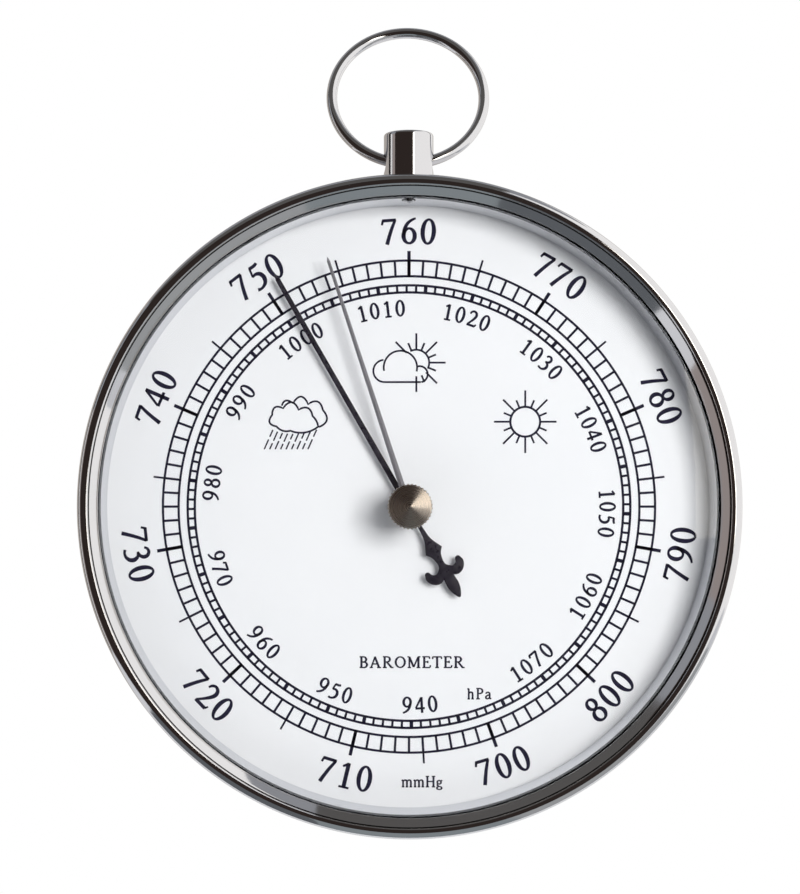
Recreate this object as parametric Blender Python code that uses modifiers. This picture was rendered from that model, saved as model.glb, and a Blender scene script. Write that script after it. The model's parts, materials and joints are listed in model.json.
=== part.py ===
"""An aneroid barometer, 128 mm across, with a hanging ring, a set hand and a geared movement.

World frame: metres, +Z up, the dial faces -Y, and the flat back lies in the plane y = 0.
Every piece is modelled in dial coordinates, which the empty "dial_frame" turns into the world
frame: x to the right, y up the dial, and z forward from the back, towards the reader.
"""

import math

import bmesh
import bpy
from mathutils import Matrix, Vector

# Driving dimensions of the case, as radii and as heights above the back.
RIM_RADIUS = 0.0640
RIM_FRONT = 0.0270
BEAD_RADIUS = 0.00125
WALL_OUTER = 0.0630
WALL_INNER = 0.0620
LIP_RADIUS = 0.0598
LIP_BACK = 0.0246
WALL_CHAMFER = 0.0004
CASE_REAR = 0.0006
STACK_RADIUS = 0.0616
GLASS_BACK, GLASS_FRONT = 0.0215, 0.0235
DIAL_BACK, DIAL_FRONT = 0.0138, 0.0146
FLANGE_BACK, FLANGE_FRONT = 0.0149, 0.0212
FLANGE_REAR_RADIUS = 0.0595
FLANGE_FRONT_RADIUS = 0.0600
COVER_WALL = 0.0008
COVER_FRONT = 0.0135
COVER_EDGE = 0.0012
COVER_SCREW_ANGLES = (30.0, 150.0, 270.0)
COVER_SCREW_HEIGHT = 0.0065
COVER_SCREW_TIP = 0.0580
ACCESS_RADIUS = 0.0035
VENT_X, VENT_Y, VENT_RADIUS = 0.0300, -0.0300, 0.0010
GAP = 0.0003

# The hanging post and its ring.
POST_RADIUS = 0.00485
POST_HEIGHT_ABOVE_BACK = 0.0196
POST_TOP = 0.0723
RING_PIVOT_UP = 0.0670
RING_RADIUS = 0.01505
RING_WIRE_RADIUS = 0.00105
RING_LEAN = math.radians(21.0)
STUD_RADIUS = 0.0011
STUD_END = 0.0594

# The knob and the hands.
KNOB_RADIUS = 0.0044
KNOB_BACK, KNOB_EDGE, KNOB_TIP = 0.0245, 0.0286, 0.0294
KNOB_HOLLOW_END = 0.0279
SPINDLE_RADIUS = 0.0015
SPINDLE_FRONT, SPINDLE_BACK = 0.0276, 0.0181
SPINDLE_HEAD_RADIUS, SPINDLE_HEAD = 0.0022, 0.0004
SET_HAND_BACK, SET_HAND_FRONT = 0.0196, 0.0201
SET_HAND_LENGTH = 0.0514
SET_HAND_HALF_ROOT, SET_HAND_HALF_TIP = 0.00060, 0.00032
SET_HAND_HUB = 0.0040
SET_HAND_CLOCK = math.radians(-18.1)
HAND_BACK, HAND_FRONT = 0.0169, 0.0173
HAND_LENGTH = 0.0526
HAND_HALF_TIP = 0.00045
HAND_HUB = 0.0026
HAND_CLOCK = math.radians(-29.9)

# The movement: plates, gear train, rocker, spring and capsule.
BASE_BACK, BASE_FRONT = 0.0026, 0.0038
BRIDGE_BACK, BRIDGE_FRONT = 0.0109, 0.0119
MODULE = 0.0003
PINION_TEETH = 12
SECTOR_TEETH = 144
SECTOR_HALF_ANGLE = math.radians(21.0)
SECTOR_BACK, SECTOR_FRONT = 0.0080, 0.0090
PINION_BACK, PINION_FRONT = 0.0073, 0.0097
CENTRE_DISTANCE = MODULE * (PINION_TEETH + SECTOR_TEETH) / 2
TAIL_LENGTH = 0.0036
TAIL_PIN_RADIUS = 0.00035
PIVOT_RADIUS = 0.0004
PIVOT_HOLE = 0.0005
ARBOR_FRONT = 0.0175
COLLET_BACK, COLLET_FRONT = 0.0100, 0.0106
HAIRSPRING_HEIGHT = 0.0103
HAIRSPRING_END = 0.0066
ROCKER_HEIGHT = 0.0066
ROCKER_UP = CENTRE_DISTANCE - 2 * TAIL_PIN_RADIUS - GAP
ROCKER_ARM = 0.0040
ROCKER_FINGER = 0.0050
ROCKER_LEFT, ROCKER_RIGHT = -0.0356, -0.0053
BRACKET_LEFT, BRACKET_RIGHT, BRACKET_TOP = -0.0352, -0.0105, 0.0082
CAPSULE_X, CAPSULE_Y = -0.0280, -0.0060
CAPSULE_RADIUS = 0.0150
SPRING_BACK, SPRING_FRONT = 0.0101, 0.0108
SPRING_ROOT_Y = -0.0325
ADJUSTER_Y = -0.0240
ADJUSTER_BACK, ADJUSTER_FRONT = 0.0011, 0.0098
ADJUSTER_RADIUS = 0.0015
DIAL_PILLARS = ((-0.0390, 0.0270), (0.0090, -0.0310), (0.0090, 0.0290))
BRIDGE_PILLARS = ((0.0, -0.0150), (0.0, 0.0300))
BRACKET_SCREWS = ((-0.0315, -0.0330), (-0.0245, -0.0330))
ROCKER_SCREWS = ((-0.0240, ROCKER_UP), (-0.0155, ROCKER_UP))
SCREW_SHANK = 0.0008
SCREW_HOLE = 0.0011
SCREW_HEAD = 0.0016

# How finely the round pieces are turned.
RIM_STEPS = 60
RING_STEPS = 36
RING_WIRE_SIDES = 8
CAPSULE_STEPS = 28


def material(name, colour, metallic, roughness, alpha=1.0):
    """A Principled material with one colour, metallic value and roughness."""
    made = bpy.data.materials.new(name)
    made.use_nodes = True
    shader = made.node_tree.nodes["Principled BSDF"]
    shader.inputs["Base Color"].default_value = (*colour, 1.0)
    shader.inputs["Metallic"].default_value = metallic
    shader.inputs["Roughness"].default_value = roughness
    shader.inputs["Alpha"].default_value = alpha
    return made


def clear_scene():
    """Removes the objects that a new scene starts with."""
    for item in list(bpy.data.objects):
        bpy.data.objects.remove(item, do_unlink=True)


clear_scene()

PARTS = bpy.data.collections.new("aneroid_barometer")
CUTTERS = bpy.data.collections.new("cutters")
CUTTERS.hide_render = True
bpy.context.scene.collection.children.link(PARTS)
bpy.context.scene.collection.children.link(CUTTERS)

CHROME = material("chrome", (0.80, 0.80, 0.82), 1.0, 0.10)
NICKEL = material("nickel", (0.52, 0.49, 0.45), 1.0, 0.32)
STEEL = material("steel", (0.60, 0.60, 0.62), 1.0, 0.28)
BRASS = material("brass", (0.72, 0.56, 0.26), 1.0, 0.30)
ALUMINIUM = material("aluminium", (0.74, 0.75, 0.78), 1.0, 0.35)
DIAL_WHITE = material("dial_white", (0.93, 0.93, 0.96), 0.0, 0.45)
BLACK = material("black_enamel", (0.012, 0.010, 0.020), 0.0, 0.35)
GLASS = material("glass", (0.95, 0.98, 0.98), 0.0, 0.02, alpha=0.25)
RUBBER = material("gasket", (0.05, 0.05, 0.05), 0.0, 0.70)
BRONZE = material("spring_bronze", (0.60, 0.42, 0.22), 1.0, 0.30)


def empty(name, parent=None, location=(0.0, 0.0, 0.0)):
    """An empty that holds pieces together, linked with the parts."""
    made = bpy.data.objects.new(name, None)
    made.empty_display_size = 0.005
    made.parent = parent
    made.location = location
    PARTS.objects.link(made)
    return made


DIAL_FRAME = empty("dial_frame")
DIAL_FRAME.rotation_euler = (math.radians(90.0), 0.0, 0.0)


def place(item, finish, at=(0.0, 0.0, 0.0), turn=(0.0, 0.0, 0.0), parent=DIAL_FRAME):
    """Gives a piece its finish, its parent and its place in that parent's coordinates."""
    if item.name not in PARTS.objects:
        PARTS.objects.link(item)
    item.data.materials.append(finish)
    item.parent = parent
    item.location = at
    item.rotation_euler = turn
    return item


def turned(name, profile, steps, finish, at=(0.0, 0.0, 0.0), turn=(0.0, 0.0, 0.0), parent=DIAL_FRAME):
    """A turned piece. The profile's (radius, height) points run down its outer side.

    A profile that starts and ends on the axis is left open there, and any other is closed.
    """
    mesh = bpy.data.meshes.new(name)
    count = len(profile)
    edges = [(i, i + 1) for i in range(count - 1)]
    if profile[0][0] > 0 or profile[-1][0] > 0:
        edges.append((count - 1, 0))
    mesh.from_pydata([(radius, 0.0, height) for radius, height in profile], edges, [])
    item = bpy.data.objects.new(name, mesh)
    screw = item.modifiers.new("turn", "SCREW")
    screw.axis = "Z"
    screw.angle = 2 * math.pi
    screw.steps = steps
    screw.render_steps = steps
    screw.use_merge_vertices = True
    screw.merge_threshold = 0.00001
    screw.use_smooth_shade = False
    return place(item, finish, at, turn, parent)


def rod(name, radius, low, high, finish, steps=12, **where):
    """A plain round bar along the local Z."""
    return turned(name, [(0.0, high), (radius, high), (radius, low), (0.0, low)], steps, finish, **where)


def washer(name, inner, outer, low, high, finish, steps=24, **where):
    """A flat ring."""
    return turned(name, [(inner, high), (outer, high), (outer, low), (inner, low)], steps, finish, **where)


def arc(centre, radius, start, end, count):
    """Points on an arc about a centre, from one angle in degrees to another, both included."""
    angles = [math.radians(start + (end - start) * i / (count - 1)) for i in range(count)]
    return [(centre[0] + radius * math.cos(a), centre[1] + radius * math.sin(a)) for a in angles]


def circle(x, y, radius, count=12):
    """A closed polygon round a point."""
    return arc((x, y), radius, 0.0, 360.0 * (count - 1) / count, count)


def plate(name, outline, low, high, finish, holes=(), at=(0.0, 0.0), **where):
    """A flat piece cut to an outline with holes, between two heights."""
    data = bpy.data.curves.new(name, "CURVE")
    data.dimensions = "2D"
    data.fill_mode = "BOTH"
    data.extrude = (high - low) / 2
    for points in (outline, *holes):
        spline = data.splines.new("POLY")
        spline.points.add(len(points) - 1)
        for point, (x, y) in zip(spline.points, points):
            point.co = (x, y, 0.0, 1.0)
        spline.use_cyclic_u = True
    item = bpy.data.objects.new(name, data)
    return place(item, finish, at=(*at, (low + high) / 2), **where)


def as_mesh(item):
    """The same piece as a mesh object, with its caps welded, so that it can be cut or joined."""
    bpy.context.view_layer.update()
    mesh = bpy.data.meshes.new_from_object(item.evaluated_get(bpy.context.evaluated_depsgraph_get()))
    shape = bmesh.new()
    shape.from_mesh(mesh)
    bmesh.ops.remove_doubles(shape, verts=shape.verts, dist=1e-7)
    bmesh.ops.recalc_face_normals(shape, faces=shape.faces)
    shape.to_mesh(mesh)
    shape.free()
    name, parent, basis = item.name, item.parent, item.matrix_basis.copy()
    bpy.data.objects.remove(item, do_unlink=True)
    made = bpy.data.objects.new(name, mesh)
    PARTS.objects.link(made)
    made.parent = parent
    made.matrix_basis = basis
    return made


def operand(item):
    """Moves a piece to the cutters, out of the render."""
    PARTS.objects.unlink(item)
    CUTTERS.objects.link(item)
    item.hide_render = True
    item.display_type = "WIRE"


def combine(item, other, operation):
    """Cuts or joins another piece, which stays as a hidden operand."""
    operand(other)
    modifier = item.modifiers.new(other.name, "BOOLEAN")
    modifier.operation = operation
    modifier.object = other
    modifier.solver = "EXACT"


def drill(item, name, radius, low, high, steps=12, **where):
    """Cuts a round hole along the local Z of its place, between two heights."""
    combine(item, rod(name, radius, low, high, STEEL, steps=steps, **where), "DIFFERENCE")


def block(name, low, high, finish, parent=DIAL_FRAME):
    """A rectangular bar between two corners."""
    low, high = Vector(low), Vector(high)
    mesh = bpy.data.meshes.new(name)
    shape = bmesh.new()
    scale = Matrix.Diagonal((*(high - low), 1.0))
    bmesh.ops.create_cube(shape, size=1.0, matrix=Matrix.Translation((low + high) / 2) @ scale)
    shape.to_mesh(mesh)
    shape.free()
    return place(bpy.data.objects.new(name, mesh), finish, parent=parent)


def rounded_rectangle(left, right, bottom, top, radius, count=4):
    """The outline of a rectangle with round corners."""
    corners = ((right, top, 0.0), (left, top, 90.0), (left, bottom, 180.0), (right, bottom, 270.0))
    points = []
    for x, y, start in corners:
        inward_x = math.copysign(radius, (left + right) / 2 - x)
        inward_y = math.copysign(radius, (bottom + top) / 2 - y)
        points += arc((x + inward_x, y + inward_y), radius, start, start + 90.0, count)
    return points


# ---------------------------------------------------------------- case

# The stud of the hanging post comes in through the wall from above.
UPRIGHT = (math.radians(-90.0), 0.0, 0.0)
STUD_FOOT = (0.0, 0.0, POST_HEIGHT_ABOVE_BACK)


def make_case():
    """The case: a turned body with a front bead and lip, and a pan that closes its back."""
    bead = (RIM_RADIUS - BEAD_RADIUS, RIM_FRONT - BEAD_RADIUS)
    body = turned(
        "case_body",
        arc(bead, BEAD_RADIUS, 90.0, -70.0, 6)
        + [
            (WALL_OUTER, bead[1] - 1.2 * BEAD_RADIUS),
            (WALL_OUTER, CASE_REAR + WALL_CHAMFER),
            (WALL_OUTER - WALL_CHAMFER, CASE_REAR),
            (WALL_INNER, CASE_REAR),
            (WALL_INNER, LIP_BACK),
            (LIP_RADIUS, LIP_BACK),
            (LIP_RADIUS, LIP_BACK + 0.0005),
            (bead[0] - BEAD_RADIUS, bead[1] - 0.0002),
        ]
        + arc(bead, BEAD_RADIUS, 180.0, 112.0, 3),
        RIM_STEPS,
        CHROME,
    )
    inner = STACK_RADIUS - COVER_WALL
    cover = turned(
        "back_cover",
        [
            (inner, COVER_FRONT),
            (STACK_RADIUS, COVER_FRONT),
            (STACK_RADIUS, COVER_EDGE),
            (STACK_RADIUS - COVER_EDGE, 0.0),
            (0.0, 0.0),
            (0.0, COVER_WALL),
            (inner - COVER_EDGE, COVER_WALL),
            (inner, COVER_WALL + COVER_EDGE),
        ],
        RIM_STEPS,
        STEEL,
    )
    make_cover_screws(body, cover)
    drill(body, "case_stud_bore", STUD_RADIUS + GAP, 0.0600, 0.0650, at=STUD_FOOT, turn=UPRIGHT)
    over_adjuster = (CAPSULE_X, ADJUSTER_Y, 0.0)
    drill(cover, "adjuster_access_bore", ACCESS_RADIUS, -0.0010, 0.0020, steps=20, at=over_adjuster)
    drill(cover, "vent_bore", VENT_RADIUS, -0.0010, 0.0020, at=(VENT_X, VENT_Y, 0.0))


def make_cover_screws(body, cover):
    """Three screws that go inwards through the wall and into the rim of the back cover."""
    foot, top = WALL_OUTER + GAP, WALL_OUTER + 0.0009
    shank, head, crown = 0.0010, 0.0020, 0.0014
    at = (0.0, 0.0, COVER_SCREW_HEIGHT)
    for number, angle in enumerate(COVER_SCREW_ANGLES, 1):
        turn = (0.0, math.radians(90.0), math.radians(angle))
        profile = [(0.0, top), (crown, top), (head, foot), (shank, foot), (shank, COVER_SCREW_TIP)]
        turned(f"cover_screw_{number}", profile + [(0.0, COVER_SCREW_TIP)], 12, STEEL, at=at, turn=turn)
        for target in (body, cover):
            drill(target, f"{target.name}_bore_{number}", crown, 0.0570, 0.0660, at=at, turn=turn)


def make_window():
    """The glass, its gasket, the flange ring that spaces it from the dial, and the dial."""
    washer("glass_gasket", 0.0603, 0.0616, GLASS_FRONT + GAP, LIP_BACK - GAP, RUBBER, steps=RIM_STEPS)
    washer("front_glass", 0.0019, STACK_RADIUS, GLASS_BACK, GLASS_FRONT, GLASS, steps=RIM_STEPS)
    flange = turned(
        "flange_ring",
        [
            (FLANGE_FRONT_RADIUS, FLANGE_FRONT),
            (STACK_RADIUS, FLANGE_FRONT),
            (STACK_RADIUS, FLANGE_BACK),
            (FLANGE_REAR_RADIUS, FLANGE_BACK),
        ],
        RIM_STEPS,
        ALUMINIUM,
    )
    drill(flange, "flange_stud_bore", STUD_RADIUS + GAP, 0.0560, 0.0650, at=STUD_FOOT, turn=UPRIGHT)
    washer("dial_plate", 0.0020, STACK_RADIUS, DIAL_BACK, DIAL_FRONT, DIAL_WHITE, steps=RIM_STEPS)


def make_hanger():
    """The post on top of the case, the stud that holds it, and the ring through its cross hole."""
    foot = WALL_OUTER + GAP
    blind = RING_PIVOT_UP - 0.0027
    chamfer = 0.0004
    post = turned(
        "hanging_post",
        [
            (0.0, POST_TOP),
            (POST_RADIUS - chamfer, POST_TOP),
            (POST_RADIUS, POST_TOP - chamfer),
            (POST_RADIUS, foot),
            (STUD_RADIUS + GAP, foot),
            (STUD_RADIUS + GAP, blind),
            (0.0, blind),
        ],
        28,
        CHROME,
        at=STUD_FOOT,
        turn=UPRIGHT,
    )
    half, play = POST_RADIUS + 0.0006, 0.0002
    stations = [half * i / 4 for i in range(4, -5, -1)]
    sag = [RING_RADIUS - math.sqrt(RING_RADIUS**2 - s**2) for s in stations]
    profile = [(RING_WIRE_RADIUS + play + s, x) for s, x in zip(sag, stations)]
    hourglass = turned(
        "ring_bore",
        [(0.0, half), *profile, (0.0, -half)],
        16,
        CHROME,
        at=(0.0, RING_PIVOT_UP, POST_HEIGHT_ABOVE_BACK),
        turn=(0.0, math.radians(90.0), 0.0),
    )
    combine(post, hourglass, "DIFFERENCE")
    rod("post_stud", STUD_RADIUS, STUD_END, blind - GAP, STEEL, at=STUD_FOOT, turn=UPRIGHT)
    pivot = empty("ring_pivot", DIAL_FRAME, (0.0, RING_PIVOT_UP, POST_HEIGHT_ABOVE_BACK))
    pivot.rotation_euler = (-RING_LEAN, 0.0, 0.0)
    wire = circle(RING_RADIUS, 0.0, RING_WIRE_RADIUS, RING_WIRE_SIDES)
    turned("hanging_ring", wire[::-1], RING_STEPS, CHROME, at=(0.0, RING_RADIUS, 0.0), parent=pivot)


# ---------------------------------------------------------------- knob and hands


def set_hand_outline():
    """A straight tapered hand that points up from a round hub."""
    shoulder = SET_HAND_LENGTH - 0.0008
    start = math.degrees(math.asin(SET_HAND_HALF_ROOT / SET_HAND_HUB))
    point = [(-SET_HAND_HALF_TIP, shoulder), (0.0, SET_HAND_LENGTH), (SET_HAND_HALF_TIP, shoulder)]
    return point + arc((0.0, 0.0), SET_HAND_HUB, 90.0 - start, -270.0 + start, 19)


def tail_outline():
    """The counterweight tail: a lozenge, a neck, a cross with curled arms and a pointed leaf."""
    half = [
        (0.00042, -0.0049),
        (0.00068, -0.0076),
        (0.00183, -0.0101),
        (0.00092, -0.0115),
        (0.00064, -0.0131),
        (0.00105, -0.0138),
        (0.00185, -0.0143),
        (0.00260, -0.0140),
        (0.00290, -0.0133),
        (0.00345, -0.0131),
        (0.00410, -0.0137),
        (0.00410, -0.0148),
        (0.00330, -0.0158),
        (0.00240, -0.0162),
        (0.00110, -0.0161),
        (0.00120, -0.0177),
        (0.00090, -0.0193),
    ]
    return half + [(0.0, -0.0205)] + [(-x, y) for x, y in reversed(half)]


def make_set_hand():
    """The knob, its spindle through the glass, the washers, the collet and the set hand."""
    knob_bore = SPINDLE_RADIUS + GAP
    turned(
        "set_knob",
        [
            (0.0, KNOB_TIP),
            (KNOB_RADIUS - 0.0002, KNOB_EDGE),
            (KNOB_RADIUS, KNOB_EDGE - 0.0003),
            (KNOB_RADIUS, KNOB_BACK + 0.0012),
            (KNOB_RADIUS - 0.0008, KNOB_BACK),
            (knob_bore, KNOB_BACK),
            (knob_bore, KNOB_HOLLOW_END),
            (0.0, KNOB_HOLLOW_END),
        ],
        30,
        NICKEL,
    )
    turned(
        "set_spindle",
        [
            (0.0, SPINDLE_FRONT),
            (SPINDLE_RADIUS, SPINDLE_FRONT),
            (SPINDLE_RADIUS, SPINDLE_BACK + SPINDLE_HEAD),
            (SPINDLE_HEAD_RADIUS, SPINDLE_BACK + SPINDLE_HEAD),
            (SPINDLE_HEAD_RADIUS, SPINDLE_BACK),
            (0.0, SPINDLE_BACK),
        ],
        16,
        STEEL,
    )
    washer("knob_washer", knob_bore, 0.0030, GLASS_FRONT + GAP, KNOB_BACK - GAP, RUBBER)
    washer("spring_washer", 0.0019, 0.0034, SET_HAND_FRONT + 0.0004, SET_HAND_FRONT + 0.0010, BRONZE)
    washer("set_hand_collet", knob_bore, 0.0026, SET_HAND_BACK - 0.0008, SET_HAND_BACK - GAP, BRASS)
    bore = [circle(0.0, 0.0, knob_bore, 16)]
    turn = (0.0, 0.0, -SET_HAND_CLOCK)
    plate("set_hand", set_hand_outline(), SET_HAND_BACK, SET_HAND_FRONT, STEEL, bore, turn=turn)


def make_indicating_hand():
    """The black hand with its tail, and the bush that carries it on the pinion arbor."""
    shoulder = HAND_LENGTH - 0.0010
    outline = [(-HAND_HALF_TIP, shoulder), (0.0, HAND_LENGTH), (HAND_HALF_TIP, shoulder)]
    outline += arc((0.0, 0.0), HAND_HUB, 78.0, -78.0, 9)
    outline += tail_outline()
    outline += arc((0.0, 0.0), HAND_HUB, 258.0, 102.0, 9)
    bore = [circle(0.0, 0.0, 0.0016)]
    plate("indicating_hand", outline, HAND_BACK, HAND_FRONT, BLACK, bore, turn=(0.0, 0.0, -HAND_CLOCK))
    washer("hand_bush", 0.0009, 0.0013, DIAL_FRONT + 0.0006, HAND_FRONT + 0.0004, BRASS, steps=16)


# ---------------------------------------------------------------- movement


def tooth(teeth, index, phase):
    """Eight points of one involute-like tooth of a wheel, between two roots."""
    pitch_radius = MODULE * teeth / 2
    centre = phase + 2 * math.pi * index / teeth
    rise, fall = 0.80 * MODULE, 1.15 * MODULE
    pitch_half = 0.36 * math.pi * MODULE / (2 * pitch_radius)
    slope = math.tan(math.radians(20.0)) / pitch_radius
    points = []
    for side in (-1.0, 1.0):
        flank = [
            (pitch_radius - fall, pitch_half + fall * slope),
            (pitch_radius, pitch_half),
            (pitch_radius + rise, pitch_half - rise * slope),
        ]
        for radius, half in flank if side < 0 else reversed(flank):
            angle = centre + side * half
            points.append((radius * math.cos(angle), radius * math.sin(angle)))
    return points


def make_pinion():
    """The pinion arbor with its leaves, turning in the base plate and the bridge."""
    outline = []
    for index in range(PINION_TEETH):
        outline += tooth(PINION_TEETH, index, math.radians(90.0))
    pinion = as_mesh(plate("pinion_arbor", outline, PINION_BACK, PINION_FRONT, STEEL))
    shaft = turned(
        "arbor_shaft",
        [
            (0.0, ARBOR_FRONT - PINION_BACK),
            (0.0006, ARBOR_FRONT - PINION_BACK),
            (0.0006, BASE_FRONT + GAP - PINION_BACK),
            (PIVOT_RADIUS, BASE_FRONT + GAP - PINION_BACK),
            (PIVOT_RADIUS, BASE_BACK - PINION_BACK),
            (0.0, BASE_BACK - PINION_BACK),
        ],
        12,
        STEEL,
        at=(0.0, 0.0, PINION_BACK),
    )
    combine(pinion, shaft, "UNION")
    washer("hairspring_collet", 0.0009, 0.0014, COLLET_BACK, COLLET_FRONT, BRASS, steps=16)
    make_hairspring()
    rod("hairspring_stud", 0.0005, COLLET_BACK - GAP, BRIDGE_BACK - GAP, BRASS, at=(HAIRSPRING_END, 0.0, 0.0))


def make_hairspring():
    """A flat spiral from the collet out to the stud."""
    data = bpy.data.curves.new("hairspring", "CURVE")
    data.dimensions = "3D"
    data.bevel_depth = 0.00010
    data.bevel_resolution = 0
    data.use_fill_caps = True
    spline = data.splines.new("POLY")
    turns, per_turn, inner, outer = 3.0, 14, 0.0018, 0.0058
    count = int(turns * per_turn) + 1
    spline.points.add(count - 1)
    for i, point in enumerate(spline.points):
        angle = 2 * math.pi * i / per_turn
        radius = inner + (outer - inner) * i / (count - 1)
        point.co = (radius * math.cos(angle), radius * math.sin(angle), 0.0, 1.0)
    place(bpy.data.objects.new("hairspring", data), BRONZE, at=(0.0, 0.0, HAIRSPRING_HEIGHT))


def make_sector():
    """The sector gear on its own arbor, with the tail and pin that the rocker pushes."""
    pivot = empty("sector_pivot", DIAL_FRAME, (0.0, CENTRE_DISTANCE, 0.0))
    half = int(SECTOR_HALF_ANGLE * SECTOR_TEETH / (2 * math.pi))
    outline = []
    for index in range(-half, half + 1):
        outline += tooth(SECTOR_TEETH, index + 0.5, math.radians(-90.0))
    outline += [(0.0030, -0.0040)]
    outline += arc((0.0, 0.0), 0.0026, -30.0, 160.0, 8)
    outline += arc((-TAIL_LENGTH, 0.0), 0.0009, 110.0, 250.0, 6)
    outline += [(-0.0024, -0.0010), (-0.0030, -0.0040)]
    plate(
        "sector_gear",
        outline,
        SECTOR_BACK,
        SECTOR_FRONT,
        BRASS,
        [circle(0.0, 0.0, 0.0010), circle(-TAIL_LENGTH, 0.0, 0.0006, 8)],
        parent=pivot,
    )
    turned(
        "sector_arbor",
        [
            (0.0, BRIDGE_FRONT),
            (PIVOT_RADIUS, BRIDGE_FRONT),
            (PIVOT_RADIUS, BRIDGE_BACK - GAP),
            (0.0007, BRIDGE_BACK - GAP),
            (0.0007, BASE_FRONT + GAP),
            (PIVOT_RADIUS, BASE_FRONT + GAP),
            (PIVOT_RADIUS, BASE_BACK),
            (0.0, BASE_BACK),
        ],
        12,
        STEEL,
        parent=pivot,
    )
    tail = (-TAIL_LENGTH, 0.0, 0.0)
    rod("tail_pin", TAIL_PIN_RADIUS, 0.0078, 0.0124, STEEL, steps=8, at=tail, parent=pivot)


def make_rocker():
    """The rocker shaft with its arm and its hooked finger."""
    pivot = empty("rocker_pivot", DIAL_FRAME, (0.0, ROCKER_UP, ROCKER_HEIGHT))
    across = (0.0, math.radians(90.0), 0.0)
    shaft = rod("rocker_shaft", 0.0007, ROCKER_LEFT, ROCKER_RIGHT, STEEL, turn=across, parent=pivot)
    arm = plate(
        "rocker_arm",
        rounded_rectangle(-0.0018, 0.0018, -ROCKER_ARM - 0.0018, 0.0006, 0.0006, 3),
        -0.0005,
        0.0005,
        STEEL,
        [circle(0.0, -ROCKER_ARM, 0.0010)],
        at=(CAPSULE_X, 0.0),
        parent=pivot,
    )
    combine(shaft, as_mesh(arm), "UNION")
    end = ROCKER_RIGHT - 0.0002
    tip = ROCKER_FINGER + 0.0005
    half = 0.00030
    finger = block("rocker_finger", (end - 0.0010, -0.00035, -0.0005), (end, 0.00035, tip), STEEL, pivot)
    low = (end - 0.0005, -half, tip - 0.0010)
    hook = block("rocker_hook", low, (-0.0031, half, tip - 0.0001), STEEL, pivot)
    combine(shaft, finger, "UNION")
    combine(shaft, hook, "UNION")
    make_rocker_bracket(across)


def make_rocker_bracket(across):
    """The U-shaped bracket that the rocker shaft turns in, and its two screws."""
    half, wall = 0.0018, 0.0010
    floor = BASE_FRONT + 0.0011
    low = (BRACKET_LEFT, ROCKER_UP - half, BASE_FRONT + GAP)
    bracket = block("rocker_bracket", low, (BRACKET_RIGHT, ROCKER_UP + half, BRACKET_TOP), BRASS)
    low = (BRACKET_LEFT + wall, ROCKER_UP - 2 * half, floor)
    gap = block("bracket_gap", low, (BRACKET_RIGHT - wall, ROCKER_UP + 2 * half, BRACKET_TOP + wall), BRASS)
    combine(bracket, gap, "DIFFERENCE")
    drill(bracket, "rocker_bore", 0.0009, -0.0370, -0.0090, at=(0.0, ROCKER_UP, ROCKER_HEIGHT), turn=across)
    for number, (x, y) in enumerate(ROCKER_SCREWS, 1):
        drill(bracket, f"rocker_screw_bore_{number}", SCREW_HOLE, 0.0030, 0.0060, at=(x, y, 0.0))
        rear_screw(f"rocker_screw_{number}", x, y, 0.0050)


def make_spring():
    """The leaf spring over the capsule, its bracket and screws, and the link to the rocker."""
    low_y = SPRING_ROOT_Y - 0.0025
    low = (CAPSULE_X - 0.0060, low_y, BASE_FRONT + GAP)
    bracket = block("spring_bracket", low, (CAPSULE_X + 0.0060, low_y + 0.0042, SPRING_BACK - GAP), BRASS)
    for number, (x, y) in enumerate(BRACKET_SCREWS, 1):
        drill(bracket, f"bracket_bore_{number}", SCREW_HOLE, 0.0030, 0.0110, at=(x, y, 0.0))
        rear_screw(f"bracket_screw_{number}", x, y, 0.0065)
        screw(f"spring_screw_{number}", x, y, SPRING_FRONT, 0.0070)
    root = empty("spring_root", DIAL_FRAME, (CAPSULE_X, SPRING_ROOT_Y, SPRING_BACK))
    link_y = ROCKER_UP - ROCKER_ARM - SPRING_ROOT_Y
    capsule_y = CAPSULE_Y - SPRING_ROOT_Y
    holes = [circle(0.0, capsule_y, 0.0016), circle(0.0, link_y, 0.0008, 10)]
    holes += [circle(x - CAPSULE_X, y - SPRING_ROOT_Y, SCREW_HOLE, 10) for x, y in BRACKET_SCREWS]
    right = [
        (0.0060, -0.0022),
        (0.0060, capsule_y),
        (0.0022, capsule_y + 0.0100),
        (0.0020, link_y + 0.0016),
    ]
    outline = right + [(0.0, link_y + 0.0024)] + [(-x, y) for x, y in reversed(right)]
    plate("main_spring", outline, 0.0, SPRING_FRONT - SPRING_BACK, BRONZE, holes, parent=root)
    link_foot, link_head, flange = 0.0050, 0.0118, 0.0007
    turned(
        "link_rod",
        [
            (0.0, link_head),
            (0.0013, link_head),
            (0.0013, SPRING_FRONT + GAP),
            (0.0005, SPRING_FRONT + GAP),
            (0.0005, link_foot + flange),
            (0.0013, link_foot + flange),
            (0.0013, link_foot),
            (0.0, link_foot),
        ],
        12,
        STEEL,
        at=(0.0, link_y, -SPRING_BACK),
        parent=root,
    )


def screw(name, x, y, seat, tip):
    """A cheese-head screw that is put in from the front, onto a seat."""
    low, high = seat + GAP, seat + 0.0010
    head = [(0.0, high), (SCREW_HEAD, high), (SCREW_HEAD, low)]
    shank = [(SCREW_SHANK, low), (SCREW_SHANK, tip), (0.0, tip)]
    return turned(name, head + shank, 12, STEEL, at=(x, y, 0.0))


def rear_screw(name, x, y, tip):
    """A cheese-head screw that is put in through the base plate from behind."""
    high = BASE_BACK - GAP
    low = high - 0.0008
    radius = SCREW_HEAD + 0.0001
    shank = [(0.0, tip), (SCREW_SHANK, tip), (SCREW_SHANK, high)]
    return turned(name, shank + [(radius, high), (radius, low), (0.0, low)], 12, STEEL, at=(x, y, 0.0))


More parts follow.
